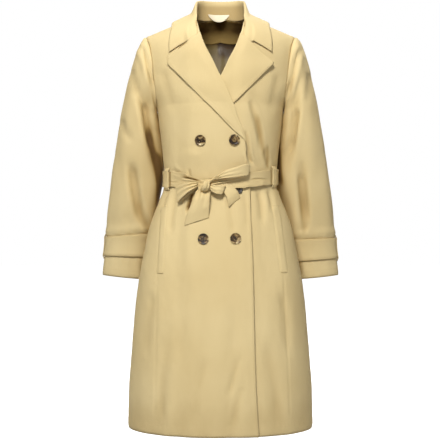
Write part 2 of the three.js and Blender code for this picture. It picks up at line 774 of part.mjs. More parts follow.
// Knot: one turn of the belt drawn over the crossing
const knotX = -38;
const knotZ = -440;
const knotGrid = [];
for (let i = 0; i <= 10; i += 1) {
  const turn = mix(-0.56, 0.56, i / 10) * Math.PI;
  const row = [];
  for (let j = 0; j <= 6; j += 1) {
    const across = j / 3 - 1;
    const full = 1 - 0.2 * across * across;
    const x = knotX + across * 12.5 - 2 * Math.sin(turn);
    const z = knotZ - Math.sin(turn) * 14.5 * full;
    const off = 17.6 + frontLift(x, 380) + 13 * full * Math.cos(turn);
    row.push(vec(x, onBody(-1, knotX, knotZ, off).y, z));
  }
  knotGrid.push(row);
}
const knotOut = (p) => vec(0, -(p.y + 118), p.z - knotZ);
add('belt_knot', clothWall(knotGrid, 1.6, knotOut, false));

// Upper bow loop: its front layer goes out to the fold, its back layer comes home lower down
ribbon('bow_loop_upper', [
  { x: -21, z: -430.5, off: 17.4, width: 9, lean: 76, cup: 1 },
  { x: -12, z: -422, off: 21, width: 15, lean: 78, cup: 2 },
  { x: 9, z: -411, off: 26, width: 27, lean: 80, cup: 3 },
  { x: 30, z: -405, off: 27, width: 32, lean: 80, cup: 2 },
  { x: 50, z: -399, off: 25, width: 34, lean: 82, cup: 1 },
  { x: 61, z: -397, off: 22, width: 32, lean: 84, cup: 0 },
  { x: 65, z: -398, off: 18, width: 31, lean: 84, cup: 0 },
  { x: 60, z: -402, off: 14.2, width: 32, lean: 84, cup: 0 },
  { x: 34, z: -415, off: 11.5, width: 32, lean: 84, cup: 0 },
  { x: 4, z: -427, off: 10.5, width: 19, lean: 84, cup: 0 },
  { x: -22, z: -436, off: 10.2, width: 8, lean: 84, cup: 0 },
], 5, 1.5);

// Right-hand side loop drooping below the belt
ribbon('bow_loop_side', [
  { x: -53, z: -441, off: 17, width: 12, lean: 100, cup: 1 },
  { x: -64, z: -446, off: 20, width: 20, lean: 100, cup: 3 },
  { x: -80, z: -453, off: 20, width: 31, lean: 98, cup: 3 },
  { x: -95, z: -460, off: 17, width: 38, lean: 97, cup: 1 },
  { x: -104, z: -464, off: 13.5, width: 40, lean: 96, cup: 0 },
  { x: -98, z: -462, off: 9, width: 38, lean: 96, cup: 0 },
  { x: -78, z: -453, off: 8.3, width: 29, lean: 96, cup: 0 },
  { x: -53, z: -442, off: 10.2, width: 12, lean: 96, cup: 0 },
], 5, 1.5);

// Small lower loop beside the knot
ribbon('bow_loop_lower', [
  { x: -25.4, z: -445, off: 17.5, width: 9, lean: 66, cup: 0 },
  { x: -14, z: -452, off: 21, width: 18, lean: 62, cup: 2 },
  { x: -2, z: -455, off: 21, width: 23, lean: 66, cup: 2 },
  { x: 7, z: -455, off: 18, width: 23, lean: 70, cup: 0 },
  { x: 9, z: -453, off: 13.5, width: 22, lean: 72, cup: 0 },
  { x: 2, z: -450, off: 11.9, width: 17, lean: 72, cup: 0 },
  { x: -24, z: -444, off: 12, width: 8, lean: 72, cup: 0 },
], 4, 1.5);

// Belt ends: the long one hangs from the knot, the short one turns off beside the lower loop
ribbon('belt_end_long', [
  { x: -38, z: -448, off: 10, width: 16, lean: 4, cup: 0 },
  { x: -39, z: -459, off: 9.4, width: 22, lean: 5, cup: 0 },
  { x: -42, z: -468, off: 12, width: 31, lean: 8, cup: 3 },
  { x: -47, z: -478, off: 14.5, width: 46, lean: 12, cup: 3 },
  { x: -53, z: -500, off: 11.5, width: 56, lean: 15, cup: 2 },
  { x: -57, z: -519, off: 8, width: 60, lean: 18, cup: 1 },
  { x: -58, z: -530, off: 6.4, width: 62, lean: 19, cup: 0 },
], 6, 1.5);
ribbon('belt_end_short', [
  { x: -21, z: -441, off: 10, width: 8, lean: 66, cup: 0 },
  { x: 0, z: -444, off: 10, width: 15, lean: 62, cup: 0 },
  { x: 16, z: -450, off: 10.4, width: 24, lean: 52, cup: 0 },
  { x: 28, z: -466, off: 9, width: 32, lean: 44, cup: 1 },
  { x: 34, z: -482, off: 6.4, width: 36, lean: 40, cup: 0 },
], 4, 1.5);

// Buttons: two columns of three, rimmed, with four holes
const buttons = [
  { name: 'top_outer', x: -49, z: -326 },
  { name: 'top_edge', x: 33.6, z: -325 },
  { name: 'middle_outer', x: -43.7, z: -449 },
  { name: 'middle_edge', x: 41, z: -449 },
  { name: 'bottom_outer', x: -42.6, z: -573 },
  { name: 'bottom_edge', x: 37, z: -572 },
];
const buttonRim = [
  [0, -buttonThickness / 2],
  [buttonRadius * 0.8, -buttonThickness / 2],
  [buttonRadius, -buttonThickness * 0.1],
  [buttonRadius * 0.95, buttonThickness / 2],
  [buttonRadius * 0.78, buttonThickness * 0.4],
  [buttonRadius * 0.62, buttonThickness * 0.12],
  [0, buttonThickness * 0.06],
];

function toSolid(geometry) {
  const plain = geometry.clone();
  plain.deleteAttribute('normal');
  plain.deleteAttribute('uv');
  const merged = mergeVertices(plain, 1e-4);
  return new wasm.Manifold(new wasm.Mesh({
    numProp: 3,
    vertProperties: new Float32Array(merged.attributes.position.array),
    triVerts: new Uint32Array(merged.index.array),
  }));
}

function fromSolid(solid) {
  const mesh = solid.getMesh();
  const geometry = new THREE.BufferGeometry();
  const positions = new THREE.Float32BufferAttribute(mesh.vertProperties, 3);
  geometry.setAttribute('position', positions);
  geometry.setIndex(Array.from(mesh.triVerts));
  geometry.computeVertexNormals();
  return geometry;
}

function buttonSolid() {
  const outline = buttonRim.map(([r, h]) => new THREE.Vector2(r, h));
  let solid = toSolid(new THREE.LatheGeometry(outline, 22).rotateX(Math.PI / 2));
  for (const [dx, dz] of [[1, 1], [1, -1], [-1, 1], [-1, -1]]) {
    const hole = new THREE.CylinderGeometry(1.2, 1.2, 8, 6).rotateX(Math.PI / 2);
    solid = solid.subtract(toSolid(hole.translate(dx * 2.4, dz * 2.4, 0)));
  }
  return fromSolid(solid);
}

const buttonShape = buttonSolid();
for (const { name, x, z } of buttons) {
  const lift = frontLift(x, dropOf(x, z));
  const centre = onBody(-1, x, z, lift + buttonThickness / 2 + 0.45);
  const out = onBody(-1, x, z, lift + 20).sub(centre).normalize();
  const turn = new THREE.Quaternion().setFromUnitVectors(vec(0, 0, 1), out);
  const geometry = buttonShape.clone().applyQuaternion(turn);
  add(`button_${name}`, geometry.translate(centre.x, centre.y, centre.z), 'button');
}

// Inside the neck: facing, lining below it and the bare label
function inside(name, outline, rows, columns, lift, thickness, look) {
  const grid = [];
  for (let i = 0; i <= rows; i += 1) {
    const row = [];
    for (let j = 0; j <= columns; j += 1) {
      const across = mix(-1, 1, j / columns);
      const [x, drop] = outline(across, i / rows);
      const side = x < 0 ? -1 : 1;
      const angle = angleOf(Math.abs(x), drop);
      const normal = normalAt(1, side, angle, drop);
      row.push(bodyPoint(1, side, angle, drop).addScaledVector(normal, lift));
    }
    grid.push(row);
  }
  add(name, clothWall(grid, thickness, outFromAxis, false), look);
}
const facingDepth = 60;
const liningDrop = 300;
inside('neck_facing', (across, down) => {
  const neckX = 58 * across;
  const neckDrop = 17 - 9.5 * Math.abs(across) ** 2.4;
  const endDrop = facingDepth - 34 * across * across;
  return [mix(neckX, 92 * across, down), mix(neckDrop, endDrop, down)];
}, 3, 14, -clothThickness - 2.4, 1.2, 'cloth');
inside('lining_back', (across, down) => {
  const topDrop = facingDepth + 3 - 34 * across * across;
  return [across * mix(92, 132, smooth(down * 2)), mix(topDrop, liningDrop, down)];
}, 7, 14, -clothThickness - 1.8, 1, 'lining');
inside('neck_label', (across, down) => [
  28 * across,
  mix(20, 38, down),
], 2, 6, -clothThickness - 4.6, 1, 'label');

export default coat;
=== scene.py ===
import math
import bpy
import numpy as np
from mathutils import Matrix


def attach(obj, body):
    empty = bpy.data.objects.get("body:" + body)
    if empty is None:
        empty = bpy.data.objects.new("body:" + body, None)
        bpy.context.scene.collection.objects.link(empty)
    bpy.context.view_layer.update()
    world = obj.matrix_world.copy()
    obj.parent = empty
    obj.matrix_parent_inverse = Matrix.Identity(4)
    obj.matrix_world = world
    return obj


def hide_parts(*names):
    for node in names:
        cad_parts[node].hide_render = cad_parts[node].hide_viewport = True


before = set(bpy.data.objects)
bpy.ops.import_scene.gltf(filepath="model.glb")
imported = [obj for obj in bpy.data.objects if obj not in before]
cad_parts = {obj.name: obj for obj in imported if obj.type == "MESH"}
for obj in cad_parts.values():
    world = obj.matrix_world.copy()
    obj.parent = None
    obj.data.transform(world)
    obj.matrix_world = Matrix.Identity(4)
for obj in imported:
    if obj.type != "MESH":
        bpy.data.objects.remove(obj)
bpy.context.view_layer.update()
scene = bpy.context.scene

# Camera first: level, in front, at the middle of the coat's height
cameraSettings = {"distance": 2.8, "height": -0.5252, "side": -0.0013, "lens": 88.1}
camData = bpy.data.cameras.new("frontCamera")
camData.lens = cameraSettings["lens"]
camera = bpy.data.objects.new("frontCamera", camData)
camera.location = (cameraSettings["side"], -cameraSettings["distance"], cameraSettings["height"])
camera.rotation_euler = (math.radians(90), 0, 0)
scene.collection.objects.link(camera)
scene.camera = camera
print("camera set")

# Small helpers, all sizes in millimetres until the mesh is made

def table(columns, rows):
    # rows of numbers under named columns
    return [dict(zip(columns.split(), row)) for row in rows]


def stroke(path, depth, width, lip=0, start=0.18, end=0.3):
    # one crease or shade: its points seen from the front, depth, half width and fading ends
    return dict(path=path, depth=depth, width=width, lip=lip, start=start, end=end)


def bell(away, width):
    return np.exp(-(away / width) ** 2)


def downSteps(count, low=0, high=1):
    return np.linspace(low, high, count)[:, None]


def acrossSteps(count, low=-1, high=1):
    return np.linspace(low, high, count)[None, :]


sideWords = {-1: "right", 1: "left"}


def mix(a, b, t):
    return a + (b - a) * t


def smooth(t):
    c = np.clip(t, 0, 1)
    return c * c * (3 - 2 * c)


def curveOf(rows, key, column):
    # smooth reading of a table between its rows, without overshoot
    xs = np.array([row[key] for row in rows], float)
    ys = np.array([row[column] for row in rows], float)
    steps = np.diff(ys) / np.diff(xs)
    slopes = np.empty(len(xs))
    slopes[0], slopes[-1] = steps[0], steps[-1]
    for k in range(1, len(xs) - 1):
        before, after = steps[k - 1], steps[k]
        slopes[k] = 0 if before * after <= 0 else 2 * before * after / (before + after)

    def read(at):
        at = np.clip(np.asarray(at, float), xs[0], xs[-1])
        i = np.clip(np.searchsorted(xs, at, side="left") - 1, 0, len(xs) - 2)
        span = xs[i + 1] - xs[i]
        t = (at - xs[i]) / span
        t2, t3 = t * t, t * t * t
        return ((2 * t3 - 3 * t2 + 1) * ys[i] + (t3 - 2 * t2 + t) * span * slopes[i]
                + (3 * t2 - 2 * t3) * ys[i + 1] + (t3 - t2) * span * slopes[i + 1])
    return read


def splineRows(points, count, closed=False):
    # Catmull-Rom through the first axis of an array
    n = len(points)
    at = np.linspace(0, n if closed else n - 1, count, endpoint=not closed)
    i = np.floor(at).astype(int)
    if not closed:
        i = np.clip(i, 0, n - 2)
    t = (at - i).reshape((-1,) + (1,) * (points.ndim - 1))
    pick = (lambda k: points[k % n]) if closed else (lambda k: points[np.clip(k, 0, n - 1)])
    p0, p1, p2, p3 = pick(i - 1), pick(i), pick(i + 1), pick(i + 2)
    if not closed:
        low = (i == 0).reshape(t.shape)
        high = (i == n - 2).reshape(t.shape)
        p0 = np.where(low, 2 * p1 - p2, p0)
        p3 = np.where(high, 2 * p2 - p1, p3)
    return 0.5 * (2 * p1 + (p2 - p0) * t + (2 * p0 - 5 * p1 + 4 * p2 - p3) * t ** 2
                  + (3 * p1 - p0 - 3 * p2 + p3) * t ** 3)


def unit(v):
    return v / np.maximum(np.linalg.norm(v, axis=-1, keepdims=True), 1e-9)


def gridNormals(grid, ring=False):
    down = np.gradient(grid, axis=0)
    if ring:
        across = (np.roll(grid, -1, axis=1) - np.roll(grid, 1, axis=1)) / 2
    else:
        across = np.gradient(grid, axis=1)
    return unit(np.cross(across, down))


def facingOut(normals, outward):
    return normals if float((normals * outward).sum()) >= 0 else -normals


def distanceTo(x, z, path):
    # distance to a line of points seen from the front, and how far along it
    best = np.full(np.shape(x), 1e9)
    along = np.zeros(np.shape(x))
    lengths = [math.dist(path[k], path[k + 1]) for k in range(len(path) - 1)]
    total, done = sum(lengths), 0
    for k, length in enumerate(lengths):
        (ax, az), (bx, bz) = path[k], path[k + 1]
        t = np.clip(((x - ax) * (bx - ax) + (z - az) * (bz - az)) / length ** 2, 0, 1)
        away = np.hypot(x - ax - t * (bx - ax), z - az - t * (bz - az))
        closer = away < best
        best = np.where(closer, away, best)
        along = np.where(closer, (done + t * length) / total, along)
        done += length
    return best, along


def creaseHeight(x, z, creases):
    # soft troughs (negative) and ridges along given lines, fading at both ends
    total = np.zeros(np.shape(x))
    for crease in creases:
        away, along = distanceTo(x, z, crease["path"])
        fade = smooth(along / max(crease["start"], 1e-3)) * smooth((1 - along) / crease["end"])
        total += crease["depth"] * bell(away, crease["width"]) * fade
        if crease["lip"]:
            side = bell(away - 1.5 * crease["width"], crease["width"])
            total += crease["lip"] * side * fade
    return total


def quads(index, flip):
    # the four corners of every face between neighbouring rows and columns
    a, b = index[:-1, :-1], index[:-1, 1:]
    c, d = index[1:, 1:], index[1:, :-1]
    return np.stack((a, d, c, b) if flip else (a, b, c, d), axis=-1)


def runAlong(grid, axis):
    # how far each point lies along the cloth from the first row or column
    step = np.linalg.norm(np.diff(grid, axis=axis), axis=2)
    return np.insert(np.cumsum(step, axis=axis), 0, 0, axis=axis)


def meshObject(name, verts, edges, faces):
    mesh = bpy.data.meshes.new(name)
    mesh.from_pydata(verts, edges, faces)
    piece = bpy.data.objects.new(name, mesh)
    scene.collection.objects.link(piece)
    return piece, mesh


def clothObject(name, grid, material, ring=False, thickness=1.5, outward=None, fold=None):
    # a sheet from a grid of points (mm): quads, UV in metres along the cloth, then a wall
    rows, columns = grid.shape[:2]
    normals = gridNormals(grid, ring)
    flip = outward is not None and float((normals * outward).sum()) < 0
    verts = grid.reshape(-1, 3) / 1000
    index = np.arange(rows * columns).reshape(rows, columns)
    if ring:
        index = np.concatenate([index, index[:, :1]], axis=1)
    faces = quads(index, flip).reshape(-1, 4)
    piece, mesh = meshObject(name, verts.tolist(), [], faces.tolist())
    mesh.polygons.foreach_set("use_smooth", [True] * len(mesh.polygons))
    wide = np.concatenate([grid, grid[:, :1]], axis=1) if ring else grid
    u, v = runAlong(wide, 1), runAlong(wide, 0)
    u = u - u[:, u.shape[1] // 2][:, None]
    uvGrid = np.stack([u, v], axis=-1) / 1000
    corners = quads(np.arange(rows * wide.shape[1]).reshape(rows, -1), flip).reshape(-1)
    layer = mesh.uv_layers.new(name="cloth")
    layer.data.foreach_set("uv", uvGrid.reshape(-1, 2)[corners].reshape(-1))
    # the fold attribute holds painted shade, read by the cloth materials
    if fold is not None:
        deep = mesh.attributes.new("fold", "FLOAT", "POINT")
        deep.data.foreach_set("value", np.clip(fold, 0, 1).astype(np.float32).reshape(-1))
    mesh.materials.append(material)
    mesh.update()
    if thickness:
        wall = piece.modifiers.new("wall", "SOLIDIFY")
        wall.thickness = thickness / 1000
        wall.offset = -1
        wall.use_even_offset = False
        wall.use_rim = True
    return piece


def finishPiece(piece, slotName, *nodes):
    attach(piece, "root")
    if nodes:
        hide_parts(*nodes)
    return piece


def flatArea(grid):
    # area of a sheet of points in square metres
    a = grid[1:, 1:] - grid[:-1, :-1]
    b = grid[1:, :-1] - grid[:-1, 1:]
    return float(np.linalg.norm(np.cross(a, b), axis=-1).sum() / 2e6)


# Materials

def newGroup(name, inputs, outputs):
    group = bpy.data.node_groups.new(name, "ShaderNodeTree")
    for label, kind, value in inputs:
        socket = group.interface.new_socket(label, in_out="INPUT", socket_type=kind)
        if value is not None:
            socket.default_value = value
    for label, kind in outputs:
        group.interface.new_socket(label, in_out="OUTPUT", socket_type=kind)
    return group, group.nodes.new("NodeGroupInput"), group.nodes.new("NodeGroupOutput")


def wire(tree, *pairs):
    for source, target in pairs:
        tree.links.new(source, target)


def mathNode(tree, operation, a=None, b=None, clamp=False):
    node = tree.nodes.new("ShaderNodeMath")
    node.operation = operation
    node.use_clamp = clamp
    for socket, value in zip(node.inputs, (a, b)):
        if value is None:
            continue
        if isinstance(value, (int, float)):
            socket.default_value = value
        else:
            tree.links.new(value, socket)
    return node.outputs[0]


def mixColour(tree, factor, a, b, blend="MIX"):
    node = tree.nodes.new("ShaderNodeMix")
    node.data_type = "RGBA"
    node.blend_type = blend
    for socket, value in ((node.inputs[0], factor), (node.inputs[6], a), (node.inputs[7], b)):
        if isinstance(value, (int, float)):
            socket.default_value = value
        elif isinstance(value, (tuple, list)):
            socket.default_value = value
        else:
            tree.links.new(value, socket)
    return node.outputs[2]


def twillGroup():
    # fine diagonal ribs crossed by a plain thread, with a slow unevenness
    group, given, out = newGroup(
        "twillWeave",
        [("Vector", "NodeSocketVector", None), ("Rib size", "NodeSocketFloat", 0.0008),
         ("Slub", "NodeSocketFloat", 0.3)],
        [("Height", "NodeSocketFloat"), ("Shade", "NodeSocketFloat")])
    split = group.nodes.new("ShaderNodeSeparateXYZ")
    wire(group, (given.outputs["Vector"], split.inputs[0]))
    slanted = mathNode(group, "MULTIPLY", split.outputs[1], 0.8)
    turned = mathNode(group, "ADD", split.outputs[0], slanted)
    phase = mathNode(group, "DIVIDE", turned, given.outputs["Rib size"])
    rib = mathNode(group, "SINE", mathNode(group, "MULTIPLY", phase, 2 * math.pi))
    threadPhase = mathNode(group, "DIVIDE", split.outputs[0], given.outputs["Rib size"])
    thread = mathNode(group, "SINE", mathNode(group, "MULTIPLY", threadPhase, 3 * math.pi))
    noise = group.nodes.new("ShaderNodeTexNoise")
    noise.inputs["Scale"].default_value = 900
    noise.inputs["Detail"].default_value = 2
    wire(group, (given.outputs["Vector"], noise.inputs["Vector"]))
    slub = mathNode(group, "MULTIPLY", noise.outputs["Fac"], given.outputs["Slub"])
    height = mathNode(group, "ADD", mathNode(group, "MULTIPLY", rib, 0.35),
                      mathNode(group, "ADD", mathNode(group, "MULTIPLY", thread, 0.12), slub))
    wire(group, (height, out.inputs["Height"]))
    shade = mathNode(group, "ADD", mathNode(group, "MULTIPLY", rib, 0.25), noise.outputs["Fac"])
    wire(group, (shade, out.inputs["Shade"]))
    return group


def wearGroup():
    # slow tone changes of washed cotton: cloudy patches and a few broad rubbed places
    group, given, out = newGroup(
        "clothTone",
        [("Vector", "NodeSocketVector", None), ("Scale", "NodeSocketFloat", 7.0),
         ("Amount", "NodeSocketFloat", 1.0)],
        [("Tone", "NodeSocketFloat"), ("Crumple", "NodeSocketFloat")])
    big = group.nodes.new("ShaderNodeTexNoise")
    big.inputs["Detail"].default_value = 3
    small = group.nodes.new("ShaderNodeTexNoise")
    small.inputs["Scale"].default_value = 46
    small.inputs["Detail"].default_value = 5
    small.inputs["Roughness"].default_value = 0.6
    wire(group, (given.outputs["Vector"], big.inputs["Vector"]),
         (given.outputs["Scale"], big.inputs["Scale"]),
         (given.outputs["Vector"], small.inputs["Vector"]))
    centred = mathNode(group, "SUBTRACT", big.outputs["Fac"], 0.5)
    wire(group, (mathNode(group, "MULTIPLY", centred, given.outputs["Amount"]), out.inputs["Tone"]),
         (small.outputs["Fac"], out.inputs["Crumple"]))
    return group


def srgb(r, g, b):
    def channel(v):
        v = v / 255
        return v / 12.92 if v <= 0.04045 else ((v + 0.055) / 1.055) ** 2.4
    return (channel(r), channel(g), channel(b), 1)


twill = twillGroup()
clothTone = wearGroup()


def clothMaterial(name, settings):
    material = bpy.data.materials.new(name)
    material.use_nodes = True
    tree = material.node_tree
    shader = tree.nodes["Principled BSDF"]
    coords = tree.nodes.new("ShaderNodeTexCoord")
    weave = tree.nodes.new("ShaderNodeGroup")
    weave.node_tree = twill
    weave.inputs["Rib size"].default_value = settings["rib"]
    weave.inputs["Slub"].default_value = settings["slub"]
    tone = tree.nodes.new("ShaderNodeGroup")
    tone.node_tree = clothTone
    tone.inputs["Scale"].default_value = settings["toneScale"]
    tone.inputs["Amount"].default_value = settings["toneAmount"]
    wire(tree, (coords.outputs["UV"], weave.inputs["Vector"]),
         (coords.outputs["Object"], tone.inputs["Vector"]))
    ribShade = mathNode(tree, "SUBTRACT", weave.outputs["Shade"], 0.5)
    ribShade = mathNode(tree, "MULTIPLY", ribShade, settings["weaveShade"])
    unevenTone = mathNode(tree, "ADD", tone.outputs["Tone"], ribShade)
    factor = mathNode(tree, "ADD", unevenTone, 0.5, clamp=True)
    colour = mixColour(tree, factor, settings["dark"], settings["light"])
    if "deep" in settings:
        # painted shade: the fold attribute mixes the colour towards the deep shade colour in creases,
        # hollows and shade strokes, and towards the darker pit colour where it is strongest
        shadeAttribute = tree.nodes.new("ShaderNodeAttribute")
        shadeAttribute.attribute_name = "fold"
        foldShadeAmount = mathNode(tree, "MULTIPLY", shadeAttribute.outputs["Fac"], 1.3, clamp=True)
        colour = mixColour(tree, foldShadeAmount, colour, settings["deep"])
        pitShade = mathNode(tree, "SUBTRACT", shadeAttribute.outputs["Fac"], 0.62)
        pitShade = mathNode(tree, "MULTIPLY", pitShade, 2.4, clamp=True)
        colour = mixColour(tree, pitShade, colour, settings["pitShade"])
    wire(tree, (colour, shader.inputs["Base Color"]))
    rough = mathNode(tree, "MULTIPLY", tone.outputs["Crumple"], 0.12)
    rough = mathNode(tree, "ADD", rough, settings["roughness"] - 0.06)
    wire(tree, (rough, shader.inputs["Roughness"]))
    bump = tree.nodes.new("ShaderNodeBump")
    bump.inputs["Strength"].default_value = settings["bump"]
    bump.inputs["Distance"].default_value = settings["rib"] * 0.45
    soft = tree.nodes.new("ShaderNodeBump")
    soft.inputs["Strength"].default_value = settings["crumple"]
    soft.inputs["Distance"].default_value = 0.0035
    wire(tree, (tone.outputs["Crumple"], soft.inputs["Height"]),
         (soft.outputs["Normal"], bump.inputs["Normal"]),
         (weave.outputs["Height"], bump.inputs["Height"]),
         (bump.outputs["Normal"], shader.inputs["Normal"]))
    shader.inputs["Sheen Weight"].default_value = settings["sheen"]
    shader.inputs["Sheen Roughness"].default_value = 0.45
    shader.inputs["Sheen Tint"].default_value = settings["light"]
    shader.inputs["Specular IOR Level"].default_value = settings["specular"]
    return material


# deep and pit are painted shade colours, used where the fold attribute paints shade
cotton = clothMaterial("cottonTwill", {
    "dark": srgb(190, 164, 110), "light": srgb(227, 208, 159),
    "deep": srgb(150, 120, 66), "pitShade": srgb(84, 58, 22), "rib": 0.0009, "slub": 0.3,
    "toneScale": 5.5, "toneAmount": 0.55, "weaveShade": 0.35, "roughness": 0.78, "bump": 0.35,
    "crumple": 0.16, "sheen": 0.12, "specular": 0.28})
# deep and pit are painted shade colours for the lining's folds and shadowed places
liningCloth = clothMaterial("liningCloth", {
    "deep": srgb(66, 48, 24), "pitShade": srgb(44, 30, 14),
    "dark": srgb(82, 66, 34), "light": srgb(128, 110, 64), "rib": 0.0005, "slub": 0.15,
    "toneScale": 9, "toneAmount": 0.6, "weaveShade": 0.2, "roughness": 0.42, "bump": 0.2,
    "crumple": 0.2, "sheen": 0.2, "specular": 0.45})
# the facing is the coat's cotton made darker as painted shade for the inside of the neck; deep and pit
# are painted shade colours
shadedFacingCloth = clothMaterial("shadedFacingCloth", {
    "deep": srgb(112, 86, 42), "pitShade": srgb(80, 56, 22),
    "dark": srgb(120, 94, 46), "light": srgb(168, 142, 84), "rib": 0.0009, "slub": 0.3,
    "toneScale": 8, "toneAmount": 0.6, "weaveShade": 0.3, "roughness": 0.8, "bump": 0.35,
    "crumple": 0.3, "sheen": 0.08, "specular": 0.25})
labelCloth = clothMaterial("labelCloth", {
    "dark": srgb(222, 208, 170), "light": srgb(250, 242, 218), "rib": 0.0006, "slub": 0.2,
    "toneScale": 20, "toneAmount": 0.4, "weaveShade": 0.2, "roughness": 0.6, "bump": 0.25,
    "crumple": 0.1, "sheen": 0.1, "specular": 0.3})
thread = clothMaterial("sewingThread", {
    "dark": srgb(176, 150, 98), "light": srgb(205, 181, 128), "rib": 0.0004, "slub": 0.2,
    "toneScale": 30, "toneAmount": 0.5, "weaveShade": 0.4, "roughness": 0.6, "bump": 0.4,
    "crumple": 0.05, "sheen": 0.1, "specular": 0.35})


def hornMaterial():
    # mottled horn: dark brown ground, tan clouds and cream streaks under a clear polish
    material = bpy.data.materials.new("mottledHorn")
    material.use_nodes = True
    tree = material.node_tree
    shader = tree.nodes["Principled BSDF"]
    coords = tree.nodes.new("ShaderNodeTexCoord")
    clouds = tree.nodes.new("ShaderNodeTexNoise")
    clouds.inputs["Scale"].default_value = 42
    clouds.inputs["Detail"].default_value = 3
    clouds.inputs["Distortion"].default_value = 1.6
    streaks = tree.nodes.new("ShaderNodeTexNoise")
    streaks.inputs["Scale"].default_value = 70
    streaks.inputs["Detail"].default_value = 4
    streaks.inputs["Distortion"].default_value = 2.4
    wire(tree, (coords.outputs["Object"], clouds.inputs["Vector"]),
         (coords.outputs["Object"], streaks.inputs["Vector"]))
    ramp = tree.nodes.new("ShaderNodeValToRGB")
    stops = [(0.4, srgb(36, 25, 12)), (0.48, srgb(82, 60, 30)),
             (0.55, srgb(146, 120, 74)), (0.63, srgb(206, 186, 138))]
    ramp.color_ramp.elements[0].position, ramp.color_ramp.elements[0].color = stops[0]
    ramp.color_ramp.elements[1].position, ramp.color_ramp.elements[1].color = stops[-1]
    for position, colour in stops[1:-1]:
        ramp.color_ramp.elements.new(position).color = colour
    wire(tree, (clouds.outputs["Fac"], ramp.inputs["Fac"]))
    mask = mathNode(tree, "SUBTRACT", streaks.outputs["Fac"], 0.56)
    mask = mathNode(tree, "MULTIPLY", mask, 9, clamp=True)
    colour = mixColour(tree, mask, ramp.outputs["Color"], srgb(40, 27, 13))
    wire(tree, (colour, shader.inputs["Base Color"]))
    scratch = mathNode(tree, "ADD", mathNode(tree, "MULTIPLY", streaks.outputs["Fac"], 0.15), 0.38)
    wire(tree, (scratch, shader.inputs["Roughness"]))
    shader.inputs["Coat Weight"].default_value = 0.08
    shader.inputs["Coat Roughness"].default_value = 0.2
    shader.inputs["Specular IOR Level"].default_value = 0.35
    return material


horn = hornMaterial()
print("materials made")

# Body surface, as in the part's source
bodyRows = table("drop half front back arm", [
    (0, 205, 88, 92, 0.373), (15, 200, 98, 99, 0.39), (45, 193, 110, 105, 0.41),
    (90, 191, 120, 110, 0.467), (130, 186, 124, 110, 0.468), (160, 175, 125, 108, 0.384),
    (178, 167, 124, 106, 0.242), (187, 164, 123, 105, 0.106), (190, 163.5, 123, 105, 0),
    (241, 157.5, 119, 101, 0), (312, 149, 111, 93, 0), (371, 145, 103, 87, 0),
    (395, 147, 107, 91, 0), (423, 157, 113, 99, 0), (462, 173, 120, 108, 0),
    (501, 186, 126, 116, 0), (574, 201, 136, 128, 0), (636, 213, 143, 136, 0),
    (730, 223, 151, 145, 0), (824, 230, 157, 151, 0), (917, 236, 163, 157, 0),
    (1008, 238, 168, 162, 0),
])
frontEdgeRows = table("drop inner", [
    (0, 66), (12, 63), (27, 58.7), (52, 51.9), (81, 39.9), (110, 21.2), (137, 3.7), (152, -8.7),
    (188, -29.9), (219, -41), (251, -53.5), (281, -61), (308, -63.5), (371, -74), (400, -73.4),
    (599, -80.6), (843, -86), (1008, -94),
])
backNeckRows = table("drop inner", [
    (0, 66), (3, 60), (6.5, 51), (10, 38), (12.5, 24), (14.5, 0),
])
bodyFolds = table("face topX topDrop endX endDrop depth width", [
    (-1, -100, 385, -128, 700, -5, 26), (-1, 96, 385, 118, 640, -5, 24),
    (-1, -18, 400, -30, 820, -3, 24), (-1, 42, 700, 30, 1008, -4, 26),
    (-1, -120, 800, -134, 1008, 5, 26), (-1, 92, 150, 112, 372, -5, 20),
    (-1, -70, 300, -96, 372, 5, 26), (1, -62, 385, -96, 1008, -7, 28),
    (1, 62, 385, 96, 1008, -7, 28), (1, 0, 230, 0, 372, 6, 40),
])
bodySizes = {
    "clothThickness": 1.5, "power": 2.2, "tipZ": -50, "centreZ": 28, "slope": 0.402,
    "slantFade": 220, "ridgeFront": 80, "ridgeBack": 85, "hemDrop": 1008, "underarm": 190,
    "underlapEnd": -62,
}
halfAt = curveOf(bodyRows, "drop", "half")
depthAt = {-1: curveOf(bodyRows, "drop", "front"), 1: curveOf(bodyRows, "drop", "back")}
armAt = curveOf(bodyRows, "drop", "arm")
edgeAt = curveOf(frontEdgeRows, "drop", "inner")
neckAt = curveOf(backNeckRows, "drop", "inner")
power = bodySizes["power"]


def shoulderZ(x):
    return bodySizes["centreZ"] - bodySizes["slope"] * np.abs(x)


def heightOf(x, drop):
    slant = shoulderZ(x) - bodySizes["tipZ"]
    return bodySizes["tipZ"] - drop + slant * (1 - smooth(drop / bodySizes["slantFade"]))


def dropOf(x, z):
    low = np.zeros(np.shape(x + z))
    high = low + bodySizes["hemDrop"] + 40
    for _ in range(26):
        middle = (low + high) / 2
        above = heightOf(x, middle) > z
        low = np.where(above, middle, low)
        high = np.where(above, high, middle)
    return (low + high) / 2


def foldDepth(face, x, drop):
    total = np.zeros(np.shape(x + drop))
    for fold in bodyFolds:
        if fold["face"] != face:
            continue
        along = (drop - fold["topDrop"]) / (fold["endDrop"] - fold["topDrop"])
        away = (x - mix(fold["topX"], fold["endX"], along)) / fold["width"]
        ends = smooth((along + 0.12) / 0.3) * smooth((1.12 - along) / 0.3)
        total = total + fold["depth"] * np.exp(-away * away) * ends
    return total


